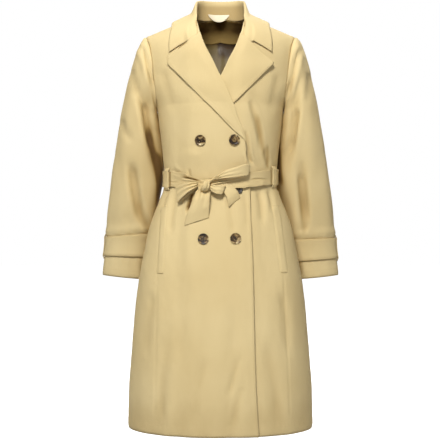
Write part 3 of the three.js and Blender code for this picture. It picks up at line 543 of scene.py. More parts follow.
def bodyPoint(face, side, angle, drop):
    c = np.cos(angle)
    x = side * halfAt(drop) * np.sign(c) * np.abs(c) ** (2 / power)
    z = heightOf(x, drop)
    radius = bodySizes["ridgeFront"] if face < 0 else bodySizes["ridgeBack"]
    turn = 1 - np.clip((shoulderZ(x) - z) / radius, 0, 1)
    reach = np.sqrt(np.maximum(0, 1 - turn * turn))
    across = np.maximum(0, np.sin(angle)) ** (2 / power)
    depth = depthAt[face](drop) + foldDepth(face, x, drop) * across
    return np.stack(np.broadcast_arrays(x, face * depth * across * reach, z), axis=-1)


def angleOf(x, drop):
    share = np.minimum(1, np.abs(x) / halfAt(drop))
    return np.arccos(np.sign(x) * share ** (power / 2))


def bodyNormal(face, side, angle, drop):
    step = 0.02
    across = bodyPoint(face, side, angle + step, drop) - bodyPoint(face, side, angle - step, drop)
    above = bodyPoint(face, side, angle, np.maximum(0, drop - 2))
    down = bodyPoint(face, side, angle, drop + 2) - above
    normal = unit(np.cross(across, down))
    here = bodyPoint(face, side, angle, drop)
    up = np.where(np.asarray(drop) < 12, 60.0, 0.0)
    outward = np.stack(np.broadcast_arrays(here[..., 0], here[..., 1] * 2, up), axis=-1)
    wrong = (normal * outward).sum(-1, keepdims=True) < 0
    return np.where(wrong, -normal, normal)


def onBody(face, x, z, lift, onCreases=True):
    # a point off the cloth at a place seen from the front (-1) or the back (1)
    x, z, lift = np.broadcast_arrays(*(np.asarray(values, float) for values in (x, z, lift)))
    drop = dropOf(x, z)
    side = np.where(x < 0, -1, 1)
    angle = angleOf(np.abs(x), drop)
    normal = bodyNormal(face, side, angle, drop)
    creased = bodyCreases(face, x, z) if onCreases else 0
    return bodyPoint(face, side, angle, drop) + normal * (lift + creased)[..., None]


def overlapLift(x, drop):
    across = smooth((x + 112) / 44)
    return across * mix(7, 5, smooth((drop - 290) / 60)) * smooth((drop - 40) / 60)


def frontLift(x, drop):
    return overlapLift(x, drop) * smooth((128 - x) / 30)


# Creases, seen from the front: their lines in mm, depth and half width
frontCreases = [
    stroke([(-72, -462), (-78, -485), (-84, -515)], -4, 5, lip=0.8),
    stroke([(68, -345), (76, -372), (84, -392)], -2.0, 4, lip=0.8),
    stroke([(62, -300), (66, -330), (74, -362)], -1.6, 5, lip=0.7),
    stroke([(150, -440), (160, -452), (174, -470)], -2.2, 4, lip=1.0),
    stroke([(-154, -500), (-160, -700), (-164, -1010)], -0.6, 2.4, start=0.02, end=0.02),
    stroke([(158, -660), (166, -800), (172, -1010)], -0.6, 2.4, start=0.02, end=0.02),
    stroke([(72, -222), (84, -255), (98, -310), (104, -352)], -2.6, 7, lip=0.9),
    stroke([(63, -350), (72, -372), (80, -384)], -2.4, 5, lip=1.0),
    stroke([(-78, -398), (-77, -410), (-74, -424)], -2.2, 3.6, lip=0.8),
    stroke([(-122, -396), (-112, -404), (-96, -412)], -1.8, 4.5, lip=0.5),
    stroke([(122, -392), (118, -372), (112, -340)], -1.8, 6, lip=0.6),
    stroke([(-150, -140), (-132, -200), (-118, -262)], -1.8, 13),
    stroke([(150, -150), (136, -205), (126, -262)], -1.8, 12),
    stroke([(142, -438), (152, -446), (166, -458)], -2.6, 4.5, lip=0.9),
    stroke([(120, -446), (128, -470), (132, -505)], -2.0, 7, lip=0.7),
    stroke([(96, -446), (102, -480), (106, -540)], -2.2, 9, lip=0.6),
    stroke([(-132, -446), (-142, -470), (-150, -500)], -1.9, 6, lip=0.5),
    stroke([(-112, -450), (-122, -500), (-128, -570)], -2.2, 9, lip=0.6),
    stroke([(20, -470), (26, -520), (32, -570)], -1.6, 9, lip=0.5),
    stroke([(58, -455), (64, -500), (66, -560)], -1.5, 8),
    stroke([(22, -960), (34, -905), (50, -850)], -1.5, 9, lip=0.5),
    stroke([(54, -930), (40, -980), (30, -1040)], -1.4, 9, lip=0.4),
    stroke([(-34, -860), (-58, -950), (-68, -1040)], -1.6, 14),
    stroke([(-128, -820), (-144, -940), (-150, -1040)], -1.8, 14, lip=0.4),
    stroke([(112, -820), (134, -940), (142, -1040)], -1.8, 14, lip=0.4),
    stroke([(152, -700), (164, -790), (172, -880)], -2.0, 12),
    stroke([(-170, -700), (-182, -800), (-190, -880)], -2.0, 12),
]
backCreases = [
    stroke([(-60, -395), (-66, -370), (-78, -335)], -2.4, 7, lip=0.8),
    stroke([(58, -395), (66, -365), (82, -330)], -2.4, 7, lip=0.8),
    stroke([(-22, -398), (-26, -378), (-34, -350)], -1.8, 5),
    stroke([(26, -398), (28, -375), (40, -345)], -1.8, 5),
    stroke([(-112, -392), (-104, -360), (-100, -310)], -1.8, 8),
    stroke([(112, -392), (106, -360), (102, -300)], -1.8, 8),
    stroke([(-84, -440), (-92, -490), (-98, -560)], -2.4, 9, lip=0.7),
    stroke([(84, -440), (94, -495), (102, -570)], -2.4, 9, lip=0.7),
    stroke([(-30, -442), (-34, -490), (-36, -540)], -1.8, 8),
    stroke([(36, -442), (42, -500), (44, -560)], -1.8, 8),
    stroke([(-150, -150), (-120, -190), (-90, -215)], -2.0, 12),
    stroke([(150, -145), (122, -190), (94, -220)], -2.0, 12),
    stroke([(-140, -860), (-152, -950), (-156, -1030)], -2.4, 12, lip=0.6),
    stroke([(130, -840), (148, -940), (152, -1030)], -2.4, 12, lip=0.6),
    stroke([(-40, -900), (-46, -960), (-48, -1030)], -1.6, 10),
]
# painted shade strokes on the front: the shadow under the bow and shade along creases
bodyShades = [
    stroke([(-68, -460), (-76, -482), (-84, -504)], 1.1, 5, start=0.05, end=0.3),
    stroke([(64, -300), (72, -340), (84, -385)], 0.28, 5),
    stroke([(90, -250), (101, -305), (108, -350), (111, -396)], 0.5, 7),
    stroke([(118, -330), (121, -365), (120, -396)], 0.55, 4, end=0.05),
    stroke([(140, -420), (148, -440), (162, -462)], 0.5, 3.4),
]


drapeSizes = {"creases": 1.9, "waves": 1.3, "crumple": 0.8, "sleeveCreases": 1.9, "sleeveWaves": 1.5}


def softWaves(across, down, seed):
    # slow uneven swells that run with the hang of the cloth, about -1 to 1
    bend = 9 * np.sin(down * 0.011 + seed) + 5 * np.sin(down * 0.023 + 2.1 * seed)
    first = np.sin((across + bend) * 0.105 + seed * 1.7)
    second = np.sin((across - 0.6 * bend) * 0.061 + seed * 2.9)
    third = np.sin((across + 1.7 * bend) * 0.19 + down * 0.012 + seed)
    return 0.45 * first + 0.35 * second + 0.2 * third * np.sin(down * 0.017 + seed * 4)


def crumples(across, down, seed):
    # small slanting dents, strongest where the waves meet
    one = np.sin(across * 0.21 + down * 0.13 + seed) * np.sin(across * 0.07 - down * 0.045 + seed * 3)
    two = np.sin(across * 0.31 - down * 0.09 + seed * 2) * np.sin(across * 0.05 + down * 0.06)
    return 0.6 * one + 0.4 * two


def bodyCreases(face, x, z):
    total = creaseHeight(x, z, frontCreases if face < 0 else backCreases) * drapeSizes["creases"]
    seed = 1.3 if face < 0 else 4.1
    skirt = smooth((-440 - z) / 160)
    chest = smooth((z + 430) / 60) * smooth((-90 - z) / 120)
    total = total + drapeSizes["waves"] * softWaves(x, z, seed) * (skirt + 0.6 * chest)
    nearBelt = bell(z + 424, 46)
    return total + drapeSizes["crumple"] * crumples(x, z, seed) * (0.35 * skirt + nearBelt)


print("body surface ready")

# Body panels
panelSizes = {"columns": 100, "rowStep": 6.5, "seamSink": 0.9, "hemBand": 22, "pucker": 0.35}
panelDrops = [0, 3, 6.5, 10, 14.5, 27, 45, 66, 90, 112, 137, 155, 170, 181, 187, 190,
              219, 251, 281, 308, 335, 357, 371, 385, 402, 430, 470, 520, 580, 650, 730, 820, 920, 1008]


def fineRows(values, step):
    rows = [values[0]]
    for low, high in zip(values[:-1], values[1:]):
        count = max(2, math.ceil((high - low) / step))
        rows += list(np.linspace(low, high, count + 1)[1:])
    return np.array(rows)


dropRows = fineRows(panelDrops, panelSizes["rowStep"])
armIndex = int(np.argmin(np.abs(dropRows - bodySizes["underarm"])))


def panelGrid(face, side):
    drop = dropRows[:, None]
    if face > 0:
        inner = np.where(dropRows >= 14.5, 0.0, neckAt(dropRows))
    else:
        inner = edgeAt(dropRows)
    if side > 0:
        inner = np.maximum(inner, bodySizes["underlapEnd"])
    start = angleOf(inner, dropRows)[:, None]
    end = np.arcsin(armAt(dropRows) ** (power / 2))[:, None]
    share = acrossSteps(panelSizes["columns"] + 1, 0)
    angle = mix(start, end, share)
    drop = np.broadcast_to(drop, angle.shape)
    grid = bodyPoint(face, side, angle, drop)
    normal = bodyNormal(face, side, angle, drop)
    grid[0, :, 1] = 0
    grid[armIndex:, -1, 1] = 0
    if face > 0:
        grid[dropRows >= 14.5, 0, 0] = 0
    lift = bodyCreases(face, grid[..., 0], grid[..., 2])
    if face < 0 and side < 0:
        lift = lift + overlapLift(grid[..., 0], drop)
    return grid, normal, lift


def seamDetails(face, side, grid, normal, lift):
    # seams sink a little, hems stand up a little, and the sewing puckers the cloth
    fromInner = runAlong(grid, 1)
    fromOuter = fromInner[:, -1:] - fromInner
    fromHem = bodySizes["hemDrop"] - dropRows[:, None]
    sink = panelSizes["seamSink"]
    below = smooth((dropRows - bodySizes["underarm"]) / 10)[:, None]
    lift = lift - sink * bell(fromOuter, 2.2) * mix(1.1, 1, below)
    lift = lift + 0.5 * bell(fromOuter - 7, 4)
    if face > 0:
        lift = lift - sink * bell(fromInner, 2.2)
    else:
        lift = lift + 0.7 * (1 - smooth((fromInner - 7) / 3)) - 1.2 * bell(fromInner, 1.8)
    lift = lift - 1.0 * bell(dropRows[:, None], 2.5)
    band = panelSizes["hemBand"]
    lift = lift + 0.6 * (1 - smooth((fromHem - band + 1) / 2.5)) - 0.9 * bell(fromHem, 1.8)
    wave = np.sin(grid[..., 0] * 0.62 + 1.7 * np.sin(grid[..., 0] * 0.11)) * bell(fromHem - band, 9)
    lift = lift + panelSizes["pucker"] * wave
    return grid + normal * lift[..., None]


panels = {}
for name, face, side in (("front_right", -1, -1), ("front_left", -1, 1),
                         ("back_right", 1, -1), ("back_left", 1, 1)):
    grid, normal, lift = panelGrid(face, side)
    depth = bodyCreases(face, grid[..., 0], grid[..., 2])
    # painted shade: shade strokes on the front panels, a darker band towards the hem on every panel,
    # and the crease troughs darkened through the fold attribute
    shade = creaseHeight(grid[..., 0], grid[..., 2], bodyShades) if face < 0 else 0
    shade = shade + 0.22 * smooth((-940 - grid[..., 2]) / 90)
    grid = seamDetails(face, side, grid, normal, lift)
    panels[name] = grid
    outward = grid * np.array([1, 1.5, 0])
    piece = clothObject(name.replace("_", "Panel_"), grid, cotton, outward=outward,
                        thickness=bodySizes["clothThickness"], fold=(-depth - 1.5) / 22 + shade)
    finishPiece(piece, "cotton_twill", name)
    area = flatArea(grid)
    width = 0.44 if face < 0 else 0.33
print("panels made")

# Sleeves
sleeveRings = table("outX outZ inX inZ middle depth blend", [
    (203, -59, 166.5, -245, 0, 61, 0.25), (214, -82, 167, -253, 1, 63, 0.5),
    (226, -116, 164.5, -264, 3, 64, 0.75), (239, -162, 161.5, -279, 6, 65, 1),
    (251, -213, 159, -299, 10, 64, 1), (263, -272, 156, -328, 16, 63, 1),
    (275, -342, 152.8, -368, 26, 60, 1), (287, -415, 156.5, -430, 40, 56, 1),
    (297, -490, 167, -504, 56, 51, 1), (304, -552, 178, -566, 72, 46, 1),
    (310, -612, 189, -625, 80, 42, 1), (316, -672, 199, -684, 88, 38, 1),
])
sleeveFolds = table("side face topX topZ endX endZ depth width sunk", [
    (-1, -1, -204, -200, -164, -390, 25, 12, 1), (-1, -1, -232, -390, -211, -520, 11, 11, 0.4),
    (1, -1, 192, -190, 168, -400, 20, 12, 1), (1, -1, 210, -390, 224, -522, 12, 10, 0.3),
    (-1, 1, -214, -220, -176, -400, 12, 16, 1), (1, 1, 216, -210, 178, -390, 12, 16, 1),
])
sleeveSizes = {
    "rows": 130, "around": 120, "strapTop": 0.842, "strapEnd": 0.93, "pinch": 2.4, "cap": 2.2,
    "press": {-1: 5.5, 1: 7.5}, "pressLow": {-1: 0, 1: 4.5}, "puff": 2.4,
    "tilt": {-1: (0.0155, -0.0175, 0, -0.013), 1: (0.02, 0.0073, 0.0097, 0.004)},
}
loopSteps = 60  # points round the armhole


def armholeLoop(side):
    word = sideWords[side]
    front = panels["front_" + word][:armIndex + 1, -1]
    back = panels["back_" + word][:armIndex + 1, -1]
    loop = np.concatenate([front, back[1:-1][::-1]])
    step = np.linalg.norm(np.roll(loop, -1, axis=0) - loop, axis=1)
    along = np.concatenate([[0], np.cumsum(step)])
    frontLength = along[armIndex]
    half = loopSteps // 2
    wanted = np.concatenate([np.linspace(0, frontLength, half, endpoint=False),
                             np.linspace(frontLength, along[-1], half, endpoint=False)])
    closed = np.concatenate([loop, loop[:1]])
    return np.stack([np.interp(wanted, along, closed[:, k]) for k in range(3)], axis=-1)


def sleeveFold(side, face, x, z):
    total = np.zeros(np.shape(x))
    for fold in sleeveFolds:
        along = (z - fold["topZ"]) / (fold["endZ"] - fold["topZ"])
        inward = -side * (x - mix(fold["topX"], fold["endX"], along))
        trough = bell(inward, fold["width"])
        profile = np.where(inward < 0, trough, mix(trough, 1, fold["sunk"]))
        here = (face == fold["face"]) * (fold["side"] == side)
        ends = smooth((along + 0.25) / 0.5) * smooth((1.25 - along) / 0.5)
        total += here * fold["depth"] * profile * ends
    return total


def sleeveGrid(side):
    start = armholeLoop(side)
    half = loopSteps // 2
    top, bottom = start[0], start[half]
    centre = (top + bottom) / 2
    up = unit(top - bottom)
    away = start - centre
    turn = np.arctan2(-away[:, 1] / 58, away @ up / 96)
    turn = np.where(turn < -1e-6, turn + 2 * math.pi, turn)
    turn[0] = 0
    even = np.arange(loopSteps) / loopSteps * 2 * math.pi
    rings = [np.concatenate([start, np.sin(turn)[:, None], np.zeros((loopSteps, 1))], axis=1)]
    for ring in sleeveRings:
        beside = smooth((-228 - ring["inZ"]) / 36) * smooth((ring["inZ"] + 500) / 90)
        press = sleeveSizes["press"][side] * beside
        press = press + sleeveSizes["pressLow"][side] * bell(ring["inZ"] + 432, 40)
        inner = np.array([side * (ring["inX"] - press), ring["middle"], ring["inZ"]], float)
        outer = np.array([side * ring["outX"], ring["middle"], ring["outZ"]], float)
        angle = mix(turn, even, smooth(ring["blend"]))
        angle[0] = 0
        points = (inner + outer) / 2 + (outer - inner) / 2 * np.cos(angle)[:, None]
        points[:, 1] -= np.sin(angle) * ring["depth"]
        extra = np.stack([np.sin(angle), np.full(loopSteps, ring["blend"])], axis=-1)
        rings.append(np.concatenate([points, extra], axis=1))
    grid = splineRows(np.array(rings), sleeveSizes["rows"] + 1)
    grid = np.swapaxes(splineRows(np.swapaxes(grid, 0, 1), sleeveSizes["around"], closed=True), 0, 1)
    sine, blend = grid[..., 3], grid[..., 4]
    grid = grid[..., :3].copy()
    face = np.where(sine > 0, -1, 1)
    grid[..., 1] += sine * blend * sleeveFold(side, face, grid[..., 0], grid[..., 2])
    return grid


# sleeve creases seen from the front, for the right sleeve; the left one has its own
sleeveCreases = {
    -1: [
        stroke([(-205, -72), (-190, -112), (-176, -160), (-163, -210)], -3.2, 8, lip=1.6),
        stroke([(-198, -220), (-186, -292), (-178, -350)], -3.6, 9, lip=1.4),
        stroke([(-229, -372), (-221, -449), (-211, -505), (-192, -556)], -2.8, 12, lip=0.9, end=0.1),
        stroke([(-276, -340), (-262, -390), (-244, -440)], -0.8, 14),
        stroke([(-232, -130), (-224, -170), (-214, -220)], -2.0, 11),
        stroke([(-262, -260), (-246, -300), (-224, -330)], -2.0, 10),
    ],
    1: [
        stroke([(206, -78), (192, -120), (180, -170), (170, -225)], -3.0, 8, lip=1.5),
        stroke([(196, -235), (188, -300), (180, -362)], -3.2, 9, lip=1.2),
        stroke([(206, -400), (213, -470), (217, -515), (221, -562)], -3.0, 11, lip=1.0, end=0.1),
        stroke([(270, -330), (258, -390), (246, -450)], -0.8, 14),
        stroke([(236, -140), (226, -190), (220, -240)], -2.0, 11),
    ],
}
# painted shade strokes on the sleeves and straps, in folds and beside the body
sleeveShades = {
    -1: [
        stroke([(-186, -262), (-179, -334), (-167, -385), (-160, -430), (-166, -470), (-176, -510)],
             0.95, 8, start=0.3, end=0.3),
        stroke([(-166, -345), (-158, -400), (-163, -455)], 0.5, 8),
        stroke([(-222, -455), (-211, -500), (-198, -535), (-190, -562)], 0.3, 11, start=0.5, end=0.02),
        stroke([(-190, -566), (-194, -600), (-199, -632)], 0.25, 12, start=0.05, end=0.2),
        stroke([(-204, -632), (-208, -655), (-212, -676)], 0.3, 7, start=0.1, end=0.3),
    ],
    1: [
        stroke([(146, -330), (152, -385), (158, -420), (167, -450)], 0.6, 8),
        stroke([(208, -420), (214, -475), (216, -515), (219, -566)], 0.3, 9, start=0.6, end=0.02),
        stroke([(180, -560), (190, -600), (196, -632)], 0.25, 9, start=0.1, end=0.2),
        stroke([(206, -640), (212, -656), (214, -674)], 0.25, 7),
    ],
}


def strapEnds(side, angle):
    # the straps tilt: their edges run differently on the outer and the inner side
    outer = (1 + np.cos(angle)) / 2
    tilt = sleeveSizes["tilt"][side]
    return (sleeveSizes["strapTop"] + mix(tilt[1], tilt[0], outer),
            sleeveSizes["strapEnd"] + mix(tilt[3], tilt[2], outer))


sleeves = {}
for side, word in sideWords.items():
    grid = sleeveGrid(side)
    middles = (grid[:, 0] + grid[:, sleeveSizes["around"] // 2]) / 2
    outward = grid - middles[:, None]
    normal = facingOut(gridNormals(grid, ring=True), outward)
    share = downSteps(len(grid))
    seen = smooth(-normal[..., 1] * 2.2 + 0.35)
    hidden = smooth(normal[..., 1] * 2.2 + 0.35)
    deeper = drapeSizes["sleeveCreases"]
    x, z = grid[..., 0], grid[..., 2]
    lift = creaseHeight(x, z, sleeveCreases[side]) * seen * deeper
    # the hidden side has both sleeves' creases, moved and weaker
    lift += creaseHeight(x - side * 9, z + 24, sleeveCreases[side]) * hidden * 0.8 * deeper
    lift += creaseHeight(x * -1 - side * 4, z + 60, sleeveCreases[-side]) * hidden * 0.6 * deeper
    around = np.arange(sleeveSizes["around"]) / sleeveSizes["around"] * 2 * math.pi
    swell = np.sin(around * 5 + share * 4 + side) * 0.5
    swell = swell + np.sin(around * 8 - share * 7 + 2 * side) * 0.35
    swell = swell + np.sin(around * 3 + share * 9) * 0.35
    dents = np.sin(around * 4 + share * 26 + side) * np.sin(around * 2 - share * 15)
    amount = smooth(share / 0.12) * smooth((0.86 - share) / 0.08)
    lift += (drapeSizes["sleeveWaves"] * swell + drapeSizes["crumple"] * dents * (0.5 + share)) * amount
    strapTop, strapEnd = strapEnds(side, around[None, :])
    lift -= sleeveSizes["pinch"] * bell(share - (strapTop + strapEnd) / 2, 0.05)
    lift += sleeveSizes["puff"] * bell(share - strapTop + 0.02, 0.014)
    gathers = np.sin(around * 15 + 1.5 * np.sin(around * 4)) * 0.6
    lift += gathers[None, :] * (bell(share - strapTop + 0.012, 0.02)
                                + bell(share - strapEnd - 0.012, 0.02))
    capHalf = smooth(np.cos(around) * 1.6 + 0.4)[None, :]
    lift += sleeveSizes["cap"] * bell(share - 0.035, 0.03) * capHalf
    lift -= 1.1 * bell(share, 0.006)
    fromHem = (1 - share) * 640
    lift += 0.6 * (1 - smooth((fromHem - 20) / 2.5)) - 0.9 * bell(fromHem, 2)
    # painted shade: the inner side facing the body, the deep fold, the shade strokes and a line above
    # the strap are darkened, and so are the crease troughs
    innerSideShade = smooth((-np.cos(around)[None, :] - 0.45) / 0.5) * smooth(share / 0.2)
    sleevePaintedShade = sleeveFold(side, np.where(normal[..., 1] < 0, -1, 1), grid[..., 0], grid[..., 2]) / 90
    shades = creaseHeight(grid[..., 0], grid[..., 2], sleeveShades[side])
    sleevePaintedShade = sleevePaintedShade + shades * smooth(-normal[..., 1] * 4 + 1.4)
    sleevePaintedShade = sleevePaintedShade + 0.45 * bell(share - strapTop + 0.001, 0.004)
    grid = grid + normal * lift[..., None]
    sleeves[side] = (grid, middles)
    piece = clothObject("sleeve_" + word.capitalize(), grid, cotton, ring=True, outward=outward,
                        fold=np.minimum((-lift - 2) / 26, 0.35) + 0.5 * innerSideShade + sleevePaintedShade)
    finishPiece(piece, "cotton_twill", "sleeve_" + word)
    area = flatArea(np.concatenate([grid, grid[:, :1]], axis=1))
print("sleeves made")


def onSleeve(side, share, angle, lift):
    # a place on a sleeve: share of its length, angle round from the outer side, distance off
    grid, middles = sleeves[side]
    at = np.clip(share, 0, 1) * (len(grid) - 1)
    i = np.minimum(np.floor(at).astype(int), len(grid) - 2)
    t = (at - i)[..., None]
    k = angle / (2 * math.pi) * grid.shape[1]
    k0 = np.floor(k).astype(int)
    s = (k - k0)[..., None]
    k0, k1 = k0 % grid.shape[1], (k0 + 1) % grid.shape[1]
    top = mix(grid[i, k0], grid[i, k1], s)
    low = mix(grid[i + 1, k0], grid[i + 1, k1], s)
    point = mix(top, low, t)
    middle = mix(middles[i], middles[i + 1], t)
    return point + unit(point - middle) * np.asarray(lift)[..., None]


strapGrids = {}
strapSizes = {"rows": 14, "around": 120, "lift": 3.6, "thickness": 1.8,
              "keeperWidth": 12, "keeperLift": 5.6, "keeperThickness": 1.6}
for side, word in sideWords.items():
    angle = np.arange(strapSizes["around"])[None, :] / strapSizes["around"] * 2 * math.pi
    share = mix(*strapEnds(side, angle), downSteps(strapSizes["rows"] + 1))
    share, angle = np.broadcast_arrays(share, angle)
    edge = np.minimum(np.arange(strapSizes["rows"] + 1), np.arange(strapSizes["rows"], -1, -1))[:, None]
    lift = strapSizes["lift"] - 0.9 * np.exp(-edge / 0.6) + 0.5 * bell(edge - 2.2, 0.9)
    strap = onSleeve(side, share, angle, np.broadcast_to(lift, share.shape))
    for _ in range(10):  # the strap is stiffer than the sleeve, so it rides over its creases
        strap = strap * 0.5 + (np.roll(strap, 1, axis=1) + np.roll(strap, -1, axis=1)) * 0.25
    centre = strap.mean(axis=(0, 1))
    # painted shade: the sleeve's shade strokes and darker strap edges
    strapPaintedShade = creaseHeight(strap[..., 0], strap[..., 2], sleeveShades[side])
    strapPaintedShade = strapPaintedShade + 0.35 * np.exp(-edge / 0.5)
    piece = clothObject("cuffStrap_" + word, strap, cotton, ring=True, outward=strap - centre,
                        thickness=strapSizes["thickness"], fold=strapPaintedShade)
    finishPiece(piece, "cotton_twill", "cuff_strap_" + word)
    strapGrids[side] = strap
    keeperTop, keeperEnd = strapEnds(side, 0)
    keeperShare = np.linspace(keeperTop - 0.01, keeperEnd + 0.01, 25)[:, None]
    width = strapSizes["keeperWidth"] / 62
    keeperAngle = acrossSteps(7, -width / 2, width / 2)
    keeperShare, keeperAngle = np.broadcast_arrays(keeperShare, keeperAngle)
    ends = np.minimum(np.arange(25), np.arange(24, -1, -1))[:, None]
    over = smooth(ends / 3.4)
    keeperLift = mix(1.4, strapSizes["keeperLift"], over) + 0.35 * (1 - (keeperAngle / width * 2) ** 2)
    keeper = onSleeve(side, keeperShare, keeperAngle, keeperLift)
    piece = clothObject("strapKeeper_" + word, keeper, cotton, outward=np.array([side, 0, 0]),
                        thickness=strapSizes["keeperThickness"])
    finishPiece(piece, "cotton_twill", "strap_keeper_" + word)
print("sleeve straps made")

# Collar
collarStations = table("at seamX seamY seamZ rollX rollY rollZ kneeX kneeY kneeZ edgeX edgeY edgeZ", [
    (0, 0, 56.6, 7, 0, 62, 51, 0, 80, 24, 0, 91, -14),
    (0.26, 41, 39.4, -1.5, 40, 45, 50, 54, 58, 20, 70, 68, -13),
    (0.5, 64.2, 2, -2.6, 58, 6, 40, 77, 8, 13, 118, 8, -11),
    (0.66, 62.5, -33, -6, 60, -30, 13, 80, -34, -3, 125, -36, -21),
    (0.82, 58.5, -58, -25, 57.5, -60, -18, 84, -68, -35, 126.5, -66, -53),
    (1, 53, -79, -50, 51.5, -82, -50, 80, -94, -82, 128, -92, -104),
])
collarSizes = {"columns": 150, "rows": 44, "thickness": 1.6}
collarCurves = {k: curveOf(collarStations, "at", k) for k in collarStations[0] if k != "at"}


def collarPoint(at, name):
    away = abs(at)
    level = away * away / 0.28 + 0.07 if away < 0.14 else away
    sign = -1 if at < 0 else 1
    return np.array([sign * float(collarCurves[name + "X"](away)),
                     float(collarCurves[name + "Y"](level)),
                     float(collarCurves[name + "Z"](level))])


def keepOff(point, clearance):
    face = -1 if point[1] < 0 else 1
    side = -1 if point[0] < 0 else 1
    drop = np.arange(0, 130, 1.5)
    angle = angleOf(abs(point[0]), drop)
    here = bodyPoint(face, side, angle, drop)
    k = int(np.argmin(np.linalg.norm(here - point, axis=1)))
    normal = bodyNormal(face, side, angle[k:k + 1], drop[k:k + 1])[0]
    height = float((point - here[k]) @ normal)
    return point + normal * (clearance - height) if height < clearance else point


def collarSection(at):
    seam, roll = collarPoint(at, "seam"), collarPoint(at, "roll")
    knee, edge = collarPoint(at, "knee"), collarPoint(at, "edge")
    fall = knee - roll
    flat = unit(np.array([fall[0], fall[1], 0.0]))
    up = np.array([0, 0, 1.0])
    rise = min(4, float(np.linalg.norm(roll - seam)) * 0.6)
    turn = max(2.2, min(4.5, rise * 1.2))
    section = [
        seam, mix(seam, roll, 0.45), mix(roll, seam, 0.12),
        roll + flat * turn * 0.4 + up * turn * 0.55,
        roll + flat * turn * 1.4 + up * turn * 0.45,
        keepOff(mix(roll, knee, 0.55) + flat * 2.2, 5.5),
        keepOff(knee, 5.5), keepOff(mix(knee, edge, 0.5) + up * 0.6, 5), keepOff(edge, 4.5),
    ]
    if abs(at) > 0.5:
        section[:5] = [keepOff(point, 1.2 + j) for j, point in enumerate(section[:5])]
    return np.array(section)


coarse = np.array([collarSection(at) for at in np.linspace(-1, 1, 35)])
collarGrid = splineRows(coarse, collarSizes["columns"] + 1)
collarGrid = np.swapaxes(splineRows(np.swapaxes(collarGrid, 0, 1), collarSizes["rows"] + 1), 0, 1)
along = downSteps(collarSizes["columns"] + 1, -1)
share = acrossSteps(collarSizes["rows"] + 1, 0)
away = collarGrid * np.array([1, 1, 0])
outward = np.where((share < 0.3)[..., None], -away, away + np.array([0, 0, 40]))
normal = facingOut(gridNormals(collarGrid), outward)
wave = np.sin(along * 21 + 2 * np.sin(along * 5)) * 0.5 + np.sin(along * 9 + 1) * 0.7
lift = wave * smooth((share - 0.5) / 0.3) + 0.5 * bell(1 - share, 0.06) - 0.6 * bell(1 - share, 0.012)
lift = lift + 0.4 * bell(1 - np.abs(along), 0.03) * smooth((share - 0.3) / 0.2)
collarGrid = collarGrid + normal * lift[..., None]
collarOutward = outward
# painted shade: the stand inside the neck is darkened
collarPaintedShade = 0.42 * smooth((0.27 - share) / 0.08) + 0 * along
print("collar shaped")

# Lapels
lapelEdgeRows = {
    -1: table("along x z", [
        (0, 130, -115.5), (0.055, 130.5, -136), (0.22, 96.4, -169.5), (0.4, 63.6, -203),
        (0.62, 21.2, -246), (0.86, -28.6, -298), (1, -55, -321),
    ]),
    1: table("along x z", [
        (0, 128.5, -131), (0.03, 127, -136), (0.22, 96.4, -169.5), (0.4, 63.6, -203),
        (0.62, 21.2, -246), (0.86, -28.6, -298), (1, -55, -321),
    ]),
}
gorgeLine = {-1: [(80, -82), (130, -115.5)], 1: [(77, -84), (104, -110), (128.5, -131)]}
lapelSizes = {"topDrop": 57, "endDrop": 277, "rows": 90, "columns": 40,
              "rollRadius": 1.9, "rollColumns": 8}


def readRows(rows, key, column, at):
    return np.interp(at, [row[key] for row in rows], [row[column] for row in rows])


def lapelLift(side, across, x, along):
    bulge = smooth(across / 0.25) * mix(5.4, 4.2, smooth((across - 0.6) / 0.4))
    flat = smooth((x - 26) / 30) if side > 0 else 1
    tip = 5 * smooth(1 - along / 0.2) * smooth((across - 0.6) / 0.4) if side > 0 else 0
    return bodySizes["clothThickness"] + 1 + (bulge + tip) * mix(0.05, 1, flat) * mix(1, 0.2, along)


